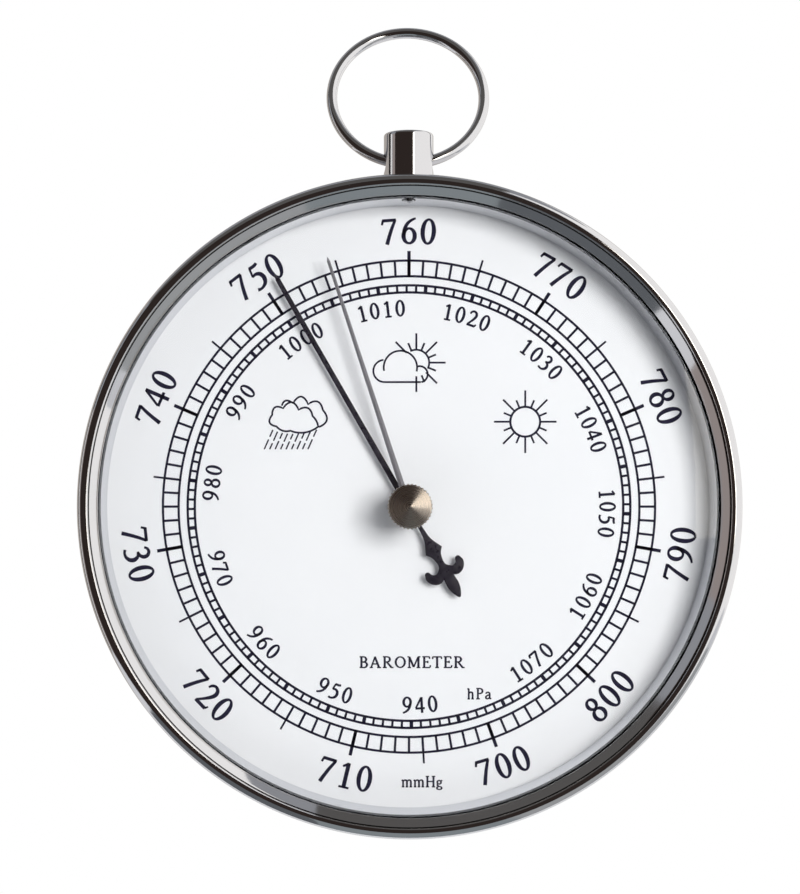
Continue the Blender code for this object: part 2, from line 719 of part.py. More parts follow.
def make_capsule():
    """The evacuated capsule: two corrugated diaphragms, with a stud behind and one in front."""
    at = (CAPSULE_X, CAPSULE_Y, 0.0)
    middle, half_gap = 0.0066, 0.00022
    boss, boss_rise, edge_rise = 0.0034, 0.0018, 0.0006
    ridges = [(CAPSULE_RADIUS * (1 - 0.14 * i), 0.0007 if i % 2 else 0.0011) for i in range(1, 6)]
    outer = [(CAPSULE_RADIUS, edge_rise), *ridges, (boss, boss_rise), (0.0, boss_rise)]
    inner = [(CAPSULE_RADIUS, half_gap), (0.0, half_gap)]
    front = [(r, middle + h) for r, h in outer[::-1] + inner]
    back = [(r, middle - h) for r, h in inner[::-1] + outer]
    turned("capsule_front", front, CAPSULE_STEPS, BRONZE, at=at)
    turned("capsule_back", back, CAPSULE_STEPS, BRONZE, at=at)
    turned(
        "capsule_rear_stud",
        [
            (0.0, 0.0045),
            (0.0030, 0.0045),
            (0.0030, BASE_FRONT + GAP),
            (0.0012, BASE_FRONT + GAP),
            (0.0012, BASE_BACK - 0.0012),
            (0.0, BASE_BACK - 0.0012),
        ],
        12,
        STEEL,
        at=at,
    )
    washer("capsule_nut", 0.0015, 0.0028, BASE_BACK - 0.0011, BASE_BACK - GAP, STEEL, steps=6, at=at)
    foot = middle + boss_rise + GAP
    turned(
        "capsule_front_stud",
        [
            (0.0, SPRING_FRONT + 0.0010),
            (0.0026, SPRING_FRONT + 0.0010),
            (0.0026, SPRING_FRONT + GAP),
            (0.0011, SPRING_FRONT + GAP),
            (0.0011, foot + 0.0009),
            (0.0030, foot + 0.0009),
            (0.0030, foot),
            (0.0, foot),
        ],
        12,
        STEEL,
        at=at,
    )


def make_plates():
    """The base plate, the bridge, their pillars and the screws that hold them."""
    low = BASE_FRONT + GAP
    sector_pivot = circle(0.0, CENTRE_DISTANCE, PIVOT_HOLE, 8)
    screws = DIAL_PILLARS + BRIDGE_PILLARS + BRACKET_SCREWS + ROCKER_SCREWS
    holes = [circle(0.0, 0.0, PIVOT_HOLE, 8), sector_pivot]
    holes += [circle(x, y, SCREW_HOLE) for x, y in screws]
    holes += [circle(CAPSULE_X, CAPSULE_Y, 0.0015), circle(CAPSULE_X, ADJUSTER_Y, ADJUSTER_RADIUS + GAP)]
    outline = rounded_rectangle(-0.0450, 0.0140, -0.0370, 0.0350, 0.0080, 5)
    plate("base_plate", outline, BASE_BACK, BASE_FRONT, BRASS, holes)
    ear, waist = 0.0026, 0.0078
    bridge_outline = (
        arc(BRIDGE_PILLARS[1], ear, 0.0, 180.0, 7)
        + arc((0.0, 0.0), waist, 108.0, 252.0, 9)
        + arc(BRIDGE_PILLARS[0], ear, 180.0, 360.0, 7)
        + arc((0.0, 0.0), waist, -72.0, 72.0, 9)
    )
    bridge_holes = [circle(0.0, 0.0, 0.0009), sector_pivot]
    bridge_holes += [circle(x, y, SCREW_HOLE) for x, y in BRIDGE_PILLARS]
    plate("bridge_plate", bridge_outline, BRIDGE_BACK, BRIDGE_FRONT, BRASS, bridge_holes)
    for number, (x, y) in enumerate(BRIDGE_PILLARS, 1):
        pillar(f"bridge_pillar_{number}", 0.0020, low, BRIDGE_BACK - GAP, x, y)
        screw(f"bridge_screw_{number}", x, y, BRIDGE_FRONT, 0.0080)
        rear_screw(f"bridge_rear_screw_{number}", x, y, 0.0065)
    for number, (x, y) in enumerate(DIAL_PILLARS, 1):
        pillar(f"dial_pillar_{number}", 0.0022, low, DIAL_BACK - GAP, x, y)
        rear_screw(f"dial_pillar_screw_{number}", x, y, 0.0080)


def pillar(name, radius, low, high, x, y):
    """A round spacer with a screw hole through it."""
    return washer(name, SCREW_HOLE, radius, low, high, BRASS, steps=12, at=(x, y, 0.0))


def make_adjuster():
    """The zero-adjusting screw, which is turned from behind and bears on the leaf spring."""
    profile = [
        (0.0, ADJUSTER_FRONT),
        (0.0005, ADJUSTER_FRONT),
        (ADJUSTER_RADIUS - 0.0002, ADJUSTER_FRONT - 0.0008),
        (ADJUSTER_RADIUS, ADJUSTER_BACK),
        (0.0, ADJUSTER_BACK),
    ]
    body = turned("adjusting_screw", profile, 16, STEEL, at=(CAPSULE_X, ADJUSTER_Y, 0.0))
    reach, half, deep = 0.0020, 0.0003, 0.0007
    low = (CAPSULE_X - reach, ADJUSTER_Y - half, ADJUSTER_BACK - deep)
    high = (CAPSULE_X + reach, ADJUSTER_Y + half, ADJUSTER_BACK + deep)
    combine(body, block("adjuster_slot", low, high, STEEL), "DIFFERENCE")


make_case()
make_window()
make_hanger()
make_set_hand()
make_indicating_hand()
make_pinion()
make_sector()
make_rocker()
make_spring()
make_capsule()
make_plates()
make_adjuster()
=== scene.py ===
"""The looks of an aneroid barometer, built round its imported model.

Dial coordinates are in millimetres: x to the right, y up the dial, and f forward from the back.
The world frame has +Z up, and the dial faces -Y.
"""

import json
import math

import bmesh
import bpy
from mathutils import Matrix, Vector


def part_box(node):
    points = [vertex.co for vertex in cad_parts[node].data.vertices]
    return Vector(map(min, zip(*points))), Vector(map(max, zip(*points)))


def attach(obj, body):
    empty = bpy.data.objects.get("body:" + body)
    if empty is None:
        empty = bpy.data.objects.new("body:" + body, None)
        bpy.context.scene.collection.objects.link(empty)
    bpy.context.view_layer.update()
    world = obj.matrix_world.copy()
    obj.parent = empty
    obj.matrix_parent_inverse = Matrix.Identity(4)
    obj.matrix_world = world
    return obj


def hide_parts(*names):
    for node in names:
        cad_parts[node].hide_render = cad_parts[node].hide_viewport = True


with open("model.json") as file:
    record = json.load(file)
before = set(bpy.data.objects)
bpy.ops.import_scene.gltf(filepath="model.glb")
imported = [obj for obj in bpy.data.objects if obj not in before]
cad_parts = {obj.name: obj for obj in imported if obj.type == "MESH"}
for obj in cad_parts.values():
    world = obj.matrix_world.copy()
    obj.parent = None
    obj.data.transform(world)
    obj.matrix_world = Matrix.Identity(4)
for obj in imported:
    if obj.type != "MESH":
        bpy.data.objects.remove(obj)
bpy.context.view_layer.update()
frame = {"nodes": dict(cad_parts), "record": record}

MM = 0.001
DIAL = Matrix(((MM, 0.0, 0.0, 0.0), (0.0, 0.0, -MM, 0.0), (0.0, MM, 0.0, 0.0), (0.0, 0.0, 0.0, 1.0)))
SHARP_ANGLE = 32.0  # an edge that turns by more degrees than this looks sharp


def front(node):
    """How far a node reaches forward, in millimetres."""
    return -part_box(node)[0][1] / MM


def rear(node):
    """Where a node starts behind, in millimetres."""
    return -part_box(node)[1][1] / MM


def radius(node):
    """The outer radius of a round node on the dial's axis, in millimetres."""
    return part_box(node)[1][0] / MM


def top(node):
    """How far a node reaches up the dial, in millimetres."""
    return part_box(node)[1][2] / MM


JOINT_PLACE = {joint["name"]: joint.get("pos_m") for joint in frame["record"]["behaviour"]["joints"]}

RIM_RADIUS = radius("case_body")
RIM_FRONT = front("case_body")
CASE_REAR = rear("case_body")
DIAL_FRONT = front("dial_plate")
DIAL_REAR = rear("dial_plate")
PLATE_RADIUS = radius("dial_plate")
BEAD = 1.6  # the radius of the rolled bead round the front
WALL_OUTER = RIM_RADIUS - 1.0
WALL_INNER = WALL_OUTER - 1.0
LIP_RADIUS = 60.1
LIP_BACK = front("glass_gasket") + 0.3
SET_HAND_CLOCK = -18.1
HAND_CLOCK = -29.9
POST_HEIGHT = (front("hanging_post") + rear("hanging_post")) / 2
RING_PIVOT_UP = JOINT_PLACE["ring_swing"][2] / MM
RING_LEAN = 21.0  # how far the ring leans back from upright, in degrees


# ---- shapes


def at(x=0.0, y=0.0, f=0.0):
    """A move, in dial coordinates."""
    return Matrix.Translation((x, y, f))


def turned_about(axis, degrees):
    """A turn about one of the dial's axes."""
    return Matrix.Rotation(math.radians(degrees), 4, axis)


def clockwise(degrees):
    """A turn about the dial's axis, clockwise as read."""
    return turned_about("Z", -degrees)


def add_object(name, data):
    """A new object of the scene from its mesh, curve, lamp or camera data."""
    item = bpy.data.objects.new(name, data)
    bpy.context.scene.collection.objects.link(item)
    return item


def new_object(name, points, faces, place=Matrix.Identity(4), sharp=SHARP_ANGLE):
    """A mesh object from points in millimetres, smooth but for its sharp edges."""
    mesh = bpy.data.meshes.new(name)
    shift = DIAL @ place
    mesh.from_pydata([shift @ Vector(point) for point in points], [], faces)
    shape = bmesh.new()
    shape.from_mesh(mesh)
    bmesh.ops.recalc_face_normals(shape, faces=shape.faces)
    shape.to_mesh(mesh)
    shape.free()
    mesh.shade_smooth()
    mesh.set_sharp_from_angle(angle=math.radians(sharp))
    return add_object(name, mesh)


def arc(centre, size, start, end, count):
    """Points on an arc about a centre, from one angle in degrees to another, both included."""
    angles = [math.radians(start + (end - start) * i / (count - 1)) for i in range(count)]
    return [(centre[0] + size * math.cos(a), centre[1] + size * math.sin(a)) for a in angles]


def eased(corners, count=5):
    """A closed outline whose corners (x, y, radius) are rounded."""
    points = []
    for i, (x, y, ease) in enumerate(corners):
        here = Vector((x, y))
        if ease <= 0.0:
            points.append((x, y))
            continue
        before = Vector(corners[i - 1][:2]) - here
        after = Vector(corners[(i + 1) % len(corners)][:2]) - here
        half = before.angle(after) / 2
        reach = min(ease / math.tan(half), 0.49 * before.length, 0.49 * after.length)
        start, end = here + before.normalized() * reach, here + after.normalized() * reach
        for k in range(count):
            t = k / (count - 1)
            point = start * (1 - t) ** 2 + here * 2 * t * (1 - t) + end * t**2
            points.append((point.x, point.y))
    return points


def lathe(profile, steps, knurl=None):
    """Points and faces of a profile (radius, height) turned about the Z axis.

    A profile that starts and ends on the axis is open there, and any other is closed. knurl
    gives, for a point's index and an angle, how far that point is cut in.
    """
    points, faces, rings = [], [], []
    for index, (size, height) in enumerate(profile):
        if size < 1e-6:
            rings.append([len(points)] * steps)
            points.append((0.0, 0.0, height))
            continue
        rings.append(list(range(len(points), len(points) + steps)))
        for i in range(steps):
            angle = 2 * math.pi * i / steps
            cut = size - (knurl(index, angle) if knurl else 0.0)
            points.append((cut * math.cos(angle), cut * math.sin(angle), height))
    pairs = list(zip(rings, rings[1:]))
    if profile[0][0] > 1e-6 or profile[-1][0] > 1e-6:
        pairs.append((rings[-1], rings[0]))
    for one, two in pairs:
        for i in range(steps):
            j = (i + 1) % steps
            face = list(dict.fromkeys((one[i], one[j], two[j], two[i])))
            if len(face) > 2:
                faces.append(face)
    return points, faces


def turned(name, profile, steps, place=Matrix.Identity(4), sharp=SHARP_ANGLE):
    """A turned piece."""
    return new_object(name, *lathe(profile, steps), place, sharp)


def combine(item, other, operation="DIFFERENCE"):
    """Cuts or joins another object, which is used up."""
    modifier = item.modifiers.new("cut", "BOOLEAN")
    modifier.operation = operation
    modifier.object = other
    modifier.solver = "EXACT"
    bpy.context.view_layer.update()
    graph = bpy.context.evaluated_depsgraph_get()
    mesh = bpy.data.meshes.new_from_object(item.evaluated_get(graph))
    item.modifiers.clear()
    item.data = mesh
    mesh.shade_smooth()
    mesh.set_sharp_from_angle(angle=math.radians(SHARP_ANGLE))
    bpy.data.objects.remove(other, do_unlink=True)
    return item


def drill(item, size, low, high, place=Matrix.Identity(4), steps=48):
    """Cuts a round hole along the place's Z axis."""
    profile = [(0.0, high), (size, high), (size, low), (0.0, low)]
    return combine(item, turned("drill", profile, steps, place))


def flat_piece(name, outline, low, high, bevel, place=Matrix.Identity(4), holes=()):
    """A flat piece with softly bevelled edges, cut to an outline with holes."""
    data = bpy.data.curves.new(name, "CURVE")
    data.dimensions = "2D"
    data.fill_mode = "BOTH"
    data.extrude = (high - low) / 2 - bevel
    data.bevel_depth = bevel
    data.bevel_resolution = 2
    data.offset = -bevel
    for points in (outline, *holes):
        spline = data.splines.new("POLY")
        spline.points.add(len(points) - 1)
        for point, (x, y) in zip(spline.points, points):
            point.co = (x, y, 0.0, 1.0)
        spline.use_cyclic_u = True
    curve = add_object(name + "_outline", data)
    bpy.context.view_layer.update()
    graph = bpy.context.evaluated_depsgraph_get()
    mesh = bpy.data.meshes.new_from_object(curve.evaluated_get(graph))
    bpy.data.objects.remove(curve, do_unlink=True)
    shape = bmesh.new()
    shape.from_mesh(mesh)
    bmesh.ops.remove_doubles(shape, verts=shape.verts, dist=1e-5)
    bmesh.ops.dissolve_degenerate(shape, edges=shape.edges, dist=1e-5)
    points = [tuple(vertex.co) for vertex in shape.verts]
    faces = [[vertex.index for vertex in face.verts] for face in shape.faces]
    shape.free()
    return new_object(name, points, faces, place @ at(f=(low + high) / 2))


def curve_through(points, per_span=6):
    """A smooth run through points of any number of values, ends included."""
    if len(points) < 3:
        return [tuple(point) for point in points]
    padded = [points[0], *points, points[-1]]
    found = []
    for i in range(1, len(padded) - 2):
        before, start, end, after = padded[i - 1 : i + 3]
        for k in range(per_span):
            t = k / per_span
            found.append(
                tuple(
                    0.5 * (2 * b + (c - a) * t + (2 * a - 5 * b + 4 * c - d) * t**2
                           + (3 * b - a - 3 * c + d) * t**3)
                    for a, b, c, d in zip(before, start, end, after)
                )
            )
    return found + [tuple(points[-1])]


# ---- finishes


def add_node(tree, kind, inputs=(), **settings):
    """A new node with its settings and inputs. An input that is a socket is linked."""
    made = tree.nodes.new(kind)
    for name, value in settings.items():
        setattr(made, name, value)
    for name, value in dict(inputs).items():
        if isinstance(value, bpy.types.NodeSocket):
            tree.links.new(value, made.inputs[name])
        else:
            made.inputs[name].default_value = value
    return made


class Finish:
    """A Principled material with helpers that lay procedural detail over it."""

    def __init__(self, name, colour, metallic, roughness):
        self.material = bpy.data.materials.new(name)
        self.material.use_nodes = True
        self.tree = self.material.node_tree
        self.shader = self.tree.nodes["Principled BSDF"]
        self.shader.inputs["Base Color"].default_value = (*colour, 1.0)
        self.shader.inputs["Metallic"].default_value = metallic
        self.shader.inputs["Roughness"].default_value = roughness
        self.place = self.node("ShaderNodeTexCoord").outputs["Object"]

    def node(self, kind, inputs=(), **settings):
        """A new node of this material."""
        return add_node(self.tree, kind, inputs, **settings)

    def noise(self, scale, detail=4.0, stretch=(1.0, 1.0, 1.0), rough=0.55):
        """Cloudy noise. scale is in cells a metre."""
        mapped = self.node("ShaderNodeMapping", {"Vector": self.place, "Scale": stretch})
        made = self.node(
            "ShaderNodeTexNoise",
            {"Vector": mapped.outputs["Vector"], "Scale": scale, "Detail": detail, "Roughness": rough},
        )
        return made.outputs["Fac"]

    def rings(self, scale, detail=2.0):
        """Noise that depends only on the distance from the dial's axis, like lathe marks."""
        flat = self.node("ShaderNodeVectorMath", {0: self.place, 1: (1.0, 0.0, 1.0)}, operation="MULTIPLY")
        length = self.node("ShaderNodeVectorMath", {0: flat.outputs["Vector"]}, operation="LENGTH")
        made = self.node(
            "ShaderNodeTexNoise",
            {"W": length.outputs["Value"], "Scale": scale, "Detail": detail},
            noise_dimensions="1D",
        )
        return made.outputs["Fac"]

    def ranged(self, source, low, high, start=0.3, end=0.7):
        """A source, which mostly runs from start to end, spread over a new range."""
        made = self.node(
            "ShaderNodeMapRange",
            {"Value": source, "From Min": start, "From Max": end, "To Min": low, "To Max": high},
        )
        return made.outputs["Result"]

    def vary(self, socket, source, low, high):
        """Drives a number of the shader from a source."""
        self.tree.links.new(self.ranged(source, low, high), self.shader.inputs[socket])

    def tint(self, source, one, two):
        """Blends the colour between two, as the source says."""
        mix = self.node("ShaderNodeMix", {"Factor": self.ranged(source, 0.0, 1.0)}, data_type="RGBA")
        mix.inputs["A"].default_value = (*one, 1.0)
        mix.inputs["B"].default_value = (*two, 1.0)
        self.tree.links.new(mix.outputs["Result"], self.shader.inputs["Base Color"])

    def bump(self, *layers):
        """Bumps, each a (source, height in metres), one on top of another."""
        normal = None
        for source, height in layers:
            inputs = {"Height": source, "Distance": height, "Strength": 1.0}
            if normal:
                inputs["Normal"] = normal
            normal = self.node("ShaderNodeBump", inputs).outputs["Normal"]
        self.tree.links.new(normal, self.shader.inputs["Normal"])


def make_chrome():
    finish = Finish("chrome", (0.70, 0.70, 0.72), 1.0, 0.06)
    finish.vary("Roughness", finish.noise(90.0, 6.0), 0.04, 0.11)
    finish.bump((finish.noise(900.0, 3.0), 0.0000012), (finish.noise(60.0, 2.0), 0.00002))
    return finish


def make_nickel():
    finish = Finish("nickel", (0.70, 0.62, 0.55), 1.0, 0.26)
    finish.shader.inputs["Anisotropic"].default_value = 0.85
    finish.shader.inputs["Anisotropic Rotation"].default_value = 0.25
    tangent = finish.node("ShaderNodeTangent", direction_type="RADIAL", axis="Y")
    finish.tree.links.new(tangent.outputs["Tangent"], finish.shader.inputs["Tangent"])
    finish.vary("Roughness", finish.rings(7000.0), 0.22, 0.30)
    finish.bump((finish.rings(9000.0), 0.0000007),)
    return finish


def make_steel():
    finish = Finish("steel", (0.58, 0.58, 0.60), 1.0, 0.25)
    finish.vary("Roughness", finish.noise(400.0, 5.0), 0.18, 0.34)
    finish.bump((finish.noise(1800.0, 4.0, (1.0, 1.0, 0.08)), 0.000006),)
    return finish


def make_satin_steel():
    finish = Finish("satin_steel", (0.36, 0.345, 0.375), 0.55, 0.42)
    finish.vary("Roughness", finish.noise(500.0, 3.0), 0.38, 0.46)
    return finish


def make_cover_steel():
    finish = Finish("cover_steel", (0.60, 0.60, 0.62), 1.0, 0.28)
    finish.vary("Roughness", finish.noise(120.0, 6.0), 0.22, 0.36)
    brushed = finish.noise(900.0, 5.0, (0.05, 1.0, 1.0))
    finish.bump((brushed, 0.00001), (finish.noise(30.0, 2.0), 0.00003))
    return finish


def make_brass():
    finish = Finish("brass", (0.72, 0.54, 0.25), 1.0, 0.28)
    finish.tint(finish.noise(220.0, 5.0), (0.74, 0.57, 0.28), (0.62, 0.44, 0.19))
    finish.vary("Roughness", finish.noise(600.0, 5.0), 0.20, 0.38)
    finish.bump((finish.noise(1600.0, 4.0, (1.0, 1.0, 0.06)), 0.000008),)
    return finish


def make_aluminium():
    finish = Finish("aluminium", (0.70, 0.71, 0.74), 1.0, 0.16)
    finish.vary("Roughness", finish.noise(120.0, 4.0), 0.13, 0.20)
    return finish


def make_dial_enamel():
    finish = Finish("dial_enamel", (0.90, 0.90, 0.93), 0.0, 0.40)
    finish.tint(finish.noise(45.0, 5.0), (0.905, 0.905, 0.940), (0.885, 0.888, 0.925))
    finish.vary("Roughness", finish.noise(150.0, 4.0), 0.34, 0.46)
    finish.bump((finish.noise(1400.0, 3.0), 0.0000025),)
    return finish


def make_ink():
    finish = Finish("dial_ink", (0.006, 0.005, 0.022), 0.0, 0.6)
    finish.tint(finish.noise(700.0, 4.0), (0.005, 0.004, 0.020), (0.011, 0.009, 0.034))
    return finish


def make_hand_enamel():
    finish = Finish("hand_enamel", (0.012, 0.010, 0.018), 0.0, 0.30)
    finish.tint(finish.noise(900.0, 5.0), (0.010, 0.008, 0.016), (0.030, 0.026, 0.036))
    finish.vary("Roughness", finish.noise(1200.0, 5.0), 0.22, 0.42)
    finish.bump((finish.noise(2200.0, 4.0), 0.00001),)
    return finish


def make_rubber():
    finish = Finish("gasket_rubber", (0.035, 0.035, 0.038), 0.0, 0.70)
    finish.vary("Roughness", finish.noise(700.0, 4.0), 0.60, 0.80)
    finish.bump((finish.noise(2500.0, 4.0), 0.00002),)
    return finish


def make_bronze():
    finish = Finish("spring_bronze", (0.60, 0.42, 0.22), 1.0, 0.28)
    finish.tint(finish.noise(180.0, 5.0), (0.62, 0.44, 0.24), (0.50, 0.34, 0.18))
    finish.vary("Roughness", finish.noise(500.0, 4.0), 0.20, 0.36)
    finish.bump((finish.noise(1500.0, 4.0, (1.0, 1.0, 0.1)), 0.000008),)
    return finish


def make_glass():
    """Clear flat glass: what is behind it shows unbent, and its faces mirror by Fresnel."""
    material = bpy.data.materials.new("glass")
    material.use_nodes = True
    tree = material.node_tree
    tree.nodes.remove(tree.nodes["Principled BSDF"])
    clear = add_node(tree, "ShaderNodeBsdfTransparent", {"Color": (0.992, 0.998, 0.996, 1.0)})
    mirror = add_node(tree, "ShaderNodeBsdfGlossy", {"Roughness": 0.02})
    fresnel = add_node(tree, "ShaderNodeFresnel", {"IOR": 1.45})
    parts = {0: fresnel.outputs["Fac"], 1: clear.outputs["BSDF"], 2: mirror.outputs["BSDF"]}
    mix = add_node(tree, "ShaderNodeMixShader", parts)
    tree.links.new(mix.outputs["Shader"], tree.nodes["Material Output"].inputs["Surface"])
    return material


CHROME = make_chrome().material
NICKEL = make_nickel().material
STEEL = make_steel().material
COVER_STEEL = make_cover_steel().material
SATIN_STEEL = make_satin_steel().material
BRASS = make_brass().material
ALUMINIUM = make_aluminium().material
DIAL_ENAMEL = make_dial_enamel().material
INK = make_ink().material
HAND_ENAMEL = make_hand_enamel().material
RUBBER = make_rubber().material
BRONZE = make_bronze().material
GLASS = make_glass()

BY_SLOT = {
    "chrome": CHROME,
    "nickel": NICKEL,
    "steel": STEEL,
    "brass": BRASS,
    "aluminium": ALUMINIUM,
    "dial_enamel": DIAL_ENAMEL,
    "hand_enamel": HAND_ENAMEL,
    "glass": GLASS,
    "gasket_rubber": RUBBER,
    "spring_bronze": BRONZE,
}


def finish_nodes():
    """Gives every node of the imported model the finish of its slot."""
    for part in frame["record"]["subparts"]:
        item = frame["nodes"][part["node"]]
        material = BY_SLOT[part["material_slot"]]
        if not item.material_slots:
            item.data.materials.append(material)
        for slot in item.material_slots:
            slot.material = material


def show(item, material, slot, body, *nodes):
    """Finishes a piece, hangs it on the body it rides on, and hides the nodes it stands for."""
    item.data.materials.clear()
    item.data.materials.append(material)
    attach(item, body)
    if nodes:
        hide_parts(*nodes)
    return item


# ---- case and window


def make_case():
    """The wall with its front bead, the sloped lip inside it and a chamfered edge behind."""
    bead = (RIM_RADIUS - BEAD, RIM_FRONT - BEAD)
    neck = bead[1] - 1.6
    inward = [i / 16 for i in range(15, 0, -1)]
    crown = [(bead[0] - 0.9 * t, bead[1] + BEAD * (1.0 - t**3) ** (1 / 3)) for t in inward]
    crown += arc(bead, BEAD, 90.0, -50.0, 36)
    chamfer = 0.4
    inner = [
        (WALL_OUTER - chamfer, CASE_REAR),
        (WALL_INNER, CASE_REAR),
        (WALL_INNER, LIP_BACK),
        (LIP_RADIUS, LIP_BACK),
        (LIP_RADIUS, LIP_BACK + 0.12),
        (LIP_RADIUS + 0.08, LIP_BACK + 0.2),
        (bead[0] - 1.1, LIP_BACK + 1.5),
    ]
    wall = [
        (WALL_OUTER + 0.10, neck + 0.15),
        (WALL_OUTER, neck - 0.05),
        (WALL_OUTER, CASE_REAR + chamfer),
    ]
    profile = crown + wall + inner
    show(turned("case_shell", profile, 256), CHROME, "chrome", "case", "case_body")


def make_back_cover():
    """The pressed pan behind, with its raised panel, access hole and vent."""
    outer = radius("back_cover")
    skirt = front("back_cover")
    corner, wall = 1.2, 0.8
    panel = outer - 9.0
    access_radius, vent_radius = 3.5, 1.0
    corners = [
        (outer - wall, skirt, 0.1),
        (outer, skirt, 0.1),
        (outer, 0.0, corner),
        (panel + 1.5, 0.0, 0.6),
        (panel + 1.1, 0.35, 0.3),
        (panel + 0.4, 0.35, 0.3),
        (panel, 0.0, 0.6),
    ]
    profile = eased(corners) + [(0.0, 0.0), (0.0, wall), (outer - wall - corner, wall)]
    profile += arc((outer - wall - corner, wall + corner), corner, -90.0, 0.0, 6)[1:]
    cover = turned("rear_pan", profile, 192)
    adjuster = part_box("adjusting_screw")
    middle = [(low + high) / 2 / MM for low, high in zip(*adjuster)]
    drill(cover, access_radius, -1.0, 2.0, at(middle[0], middle[2]))
    drill(cover, vent_radius, -1.0, 2.0, at(30.0, -30.0))
    show(cover, COVER_STEEL, "steel", "case", "back_cover")


def make_cover_screws():
    """Slotted oval-head screws in the side of the case."""
    height = (front("cover_screw_1") + rear("cover_screw_1")) / 2
    foot, crown = WALL_OUTER + 0.02, WALL_OUTER + 0.88
    edge = foot + 0.25
    size, shank, inner_end = 2.0, 1.0, 58.0
    angles = [math.radians(90.0 * i / 10) for i in range(11)]
    dome = [(size * math.sin(a), edge + (crown - foot - 0.25) * math.cos(a)) for a in angles]
    profile = dome + [(size, foot), (shank, foot), (shank, inner_end), (0.0, inner_end)]
    slot_low, slot_high = (-2.5, -0.25, crown - 0.45), (2.5, 0.25, crown + 0.5)
    for number, angle in enumerate((30.0, 150.0, 270.0), 1):
        place = turned_about("Z", angle) @ at(f=height) @ turned_about("Y", 90.0)
        head = turned(f"case_screw_{number}", profile, 48, place)
        combine(head, new_object("slot", *box_shape(slot_low, slot_high), place))
        show(head, STEEL, "steel", "case", f"cover_screw_{number}")


def box_shape(low, high):
    """Points and faces of a block between two corners."""
    shape = bmesh.new()
    bmesh.ops.create_cube(shape, size=1.0)
    points = [
        tuple(a + (b - a) * (value + 0.5) for a, b, value in zip(low, high, vertex.co))
        for vertex in shape.verts
    ]
    faces = [[vertex.index for vertex in face.verts] for face in shape.faces]
    shape.free()
    return points, faces


UPRIGHT = at(f=POST_HEIGHT) @ turned_about("X", -90.0)


def make_window():
    """The glass with eased edges, the flange ring behind it and the dial."""
    low, high = rear("front_glass"), front("front_glass")
    edge, glass_hole, dial_hole = PLATE_RADIUS, 1.9, 2.0
    corners = [(glass_hole, high, 0.15), (edge, high, 0.2), (edge, low, 0.2), (glass_hole, low, 0.15)]
    show(turned("window_glass", eased(corners), 192), GLASS, "glass", "case", "front_glass")

    low, high = rear("flange_ring"), front("flange_ring")
    inner = [(59.5, low), (59.55, low + 0.2), (60.0, high - 0.35), (60.35, high)]
    flange = turned("inner_flange", [(edge, high), (edge, low)] + inner, 256)
    stud_hole = 1.4
    drill(flange, stud_hole, 56.0, 65.0, UPRIGHT)
    show(flange, ALUMINIUM, "aluminium", "case", "flange_ring")

    corners = [
        (dial_hole, DIAL_FRONT, 0.05),
        (edge, DIAL_FRONT, 0.1),
        (edge, DIAL_REAR, 0.1),
        (dial_hole, DIAL_REAR, 0.05),
    ]
    show(turned("dial_face", eased(corners), 192), DIAL_ENAMEL, "dial_enamel", "case", "dial_plate")


def make_hanger():
    """The post with its cross hole, the stud that holds it, and the ring."""
    size = (front("hanging_post") - rear("hanging_post")) / 2
    foot, crown = WALL_OUTER + 0.02, top("hanging_post") + 0.5
    stud = 1.1
    blind = RING_PIVOT_UP - 2.7
    corners = [
        (0.0, crown, 0.0),
        (size, crown, 0.7),
        (size, foot, 0.08),
        (stud + 0.3, foot, 0.0),
        (stud + 0.3, blind, 0.0),
        (0.0, blind, 0.0),
    ]
    post = turned("ring_post", eased(corners, 9), 96, UPRIGHT)
    wire, ring = 1.05, 15.05
    half = size + 0.6
    stations = [half * i / 12 for i in range(12, -13, -1)]
    waist = [(wire + 0.12 + ring - math.sqrt(ring**2 - s**2), s) for s in stations]
    pivot = at(0.0, RING_PIVOT_UP, POST_HEIGHT)
    profile = [(0.0, half), *waist, (0.0, -half)]
    hourglass = turned("hourglass", profile, 40, pivot @ turned_about("Y", 90.0))
    show(combine(post, hourglass), CHROME, "chrome", "case", "hanging_post")

    low = 59.4
    profile = [
        (0.0, low - 0.15),
        (0.5, low - 0.08),
        (0.9, low + 0.1),
        (stud, low + 0.4),
        (stud, blind - 0.3),
        (0.0, blind - 0.3),
    ]
    show(turned("post_screw", profile, 32, UPRIGHT), STEEL, "steel", "case", "post_stud")

    lean = pivot @ turned_about("X", -RING_LEAN)
    section = arc((ring, 0.0), wire, 360.0, 0.0, 25)[:-1]
    loop = turned("ring_wire", section, 160, lean @ at(0.0, ring), sharp=60.0)
    show(loop, CHROME, "chrome", "ring", "hanging_ring")


# ---- knob and hands


KNURL_TEETH = 36


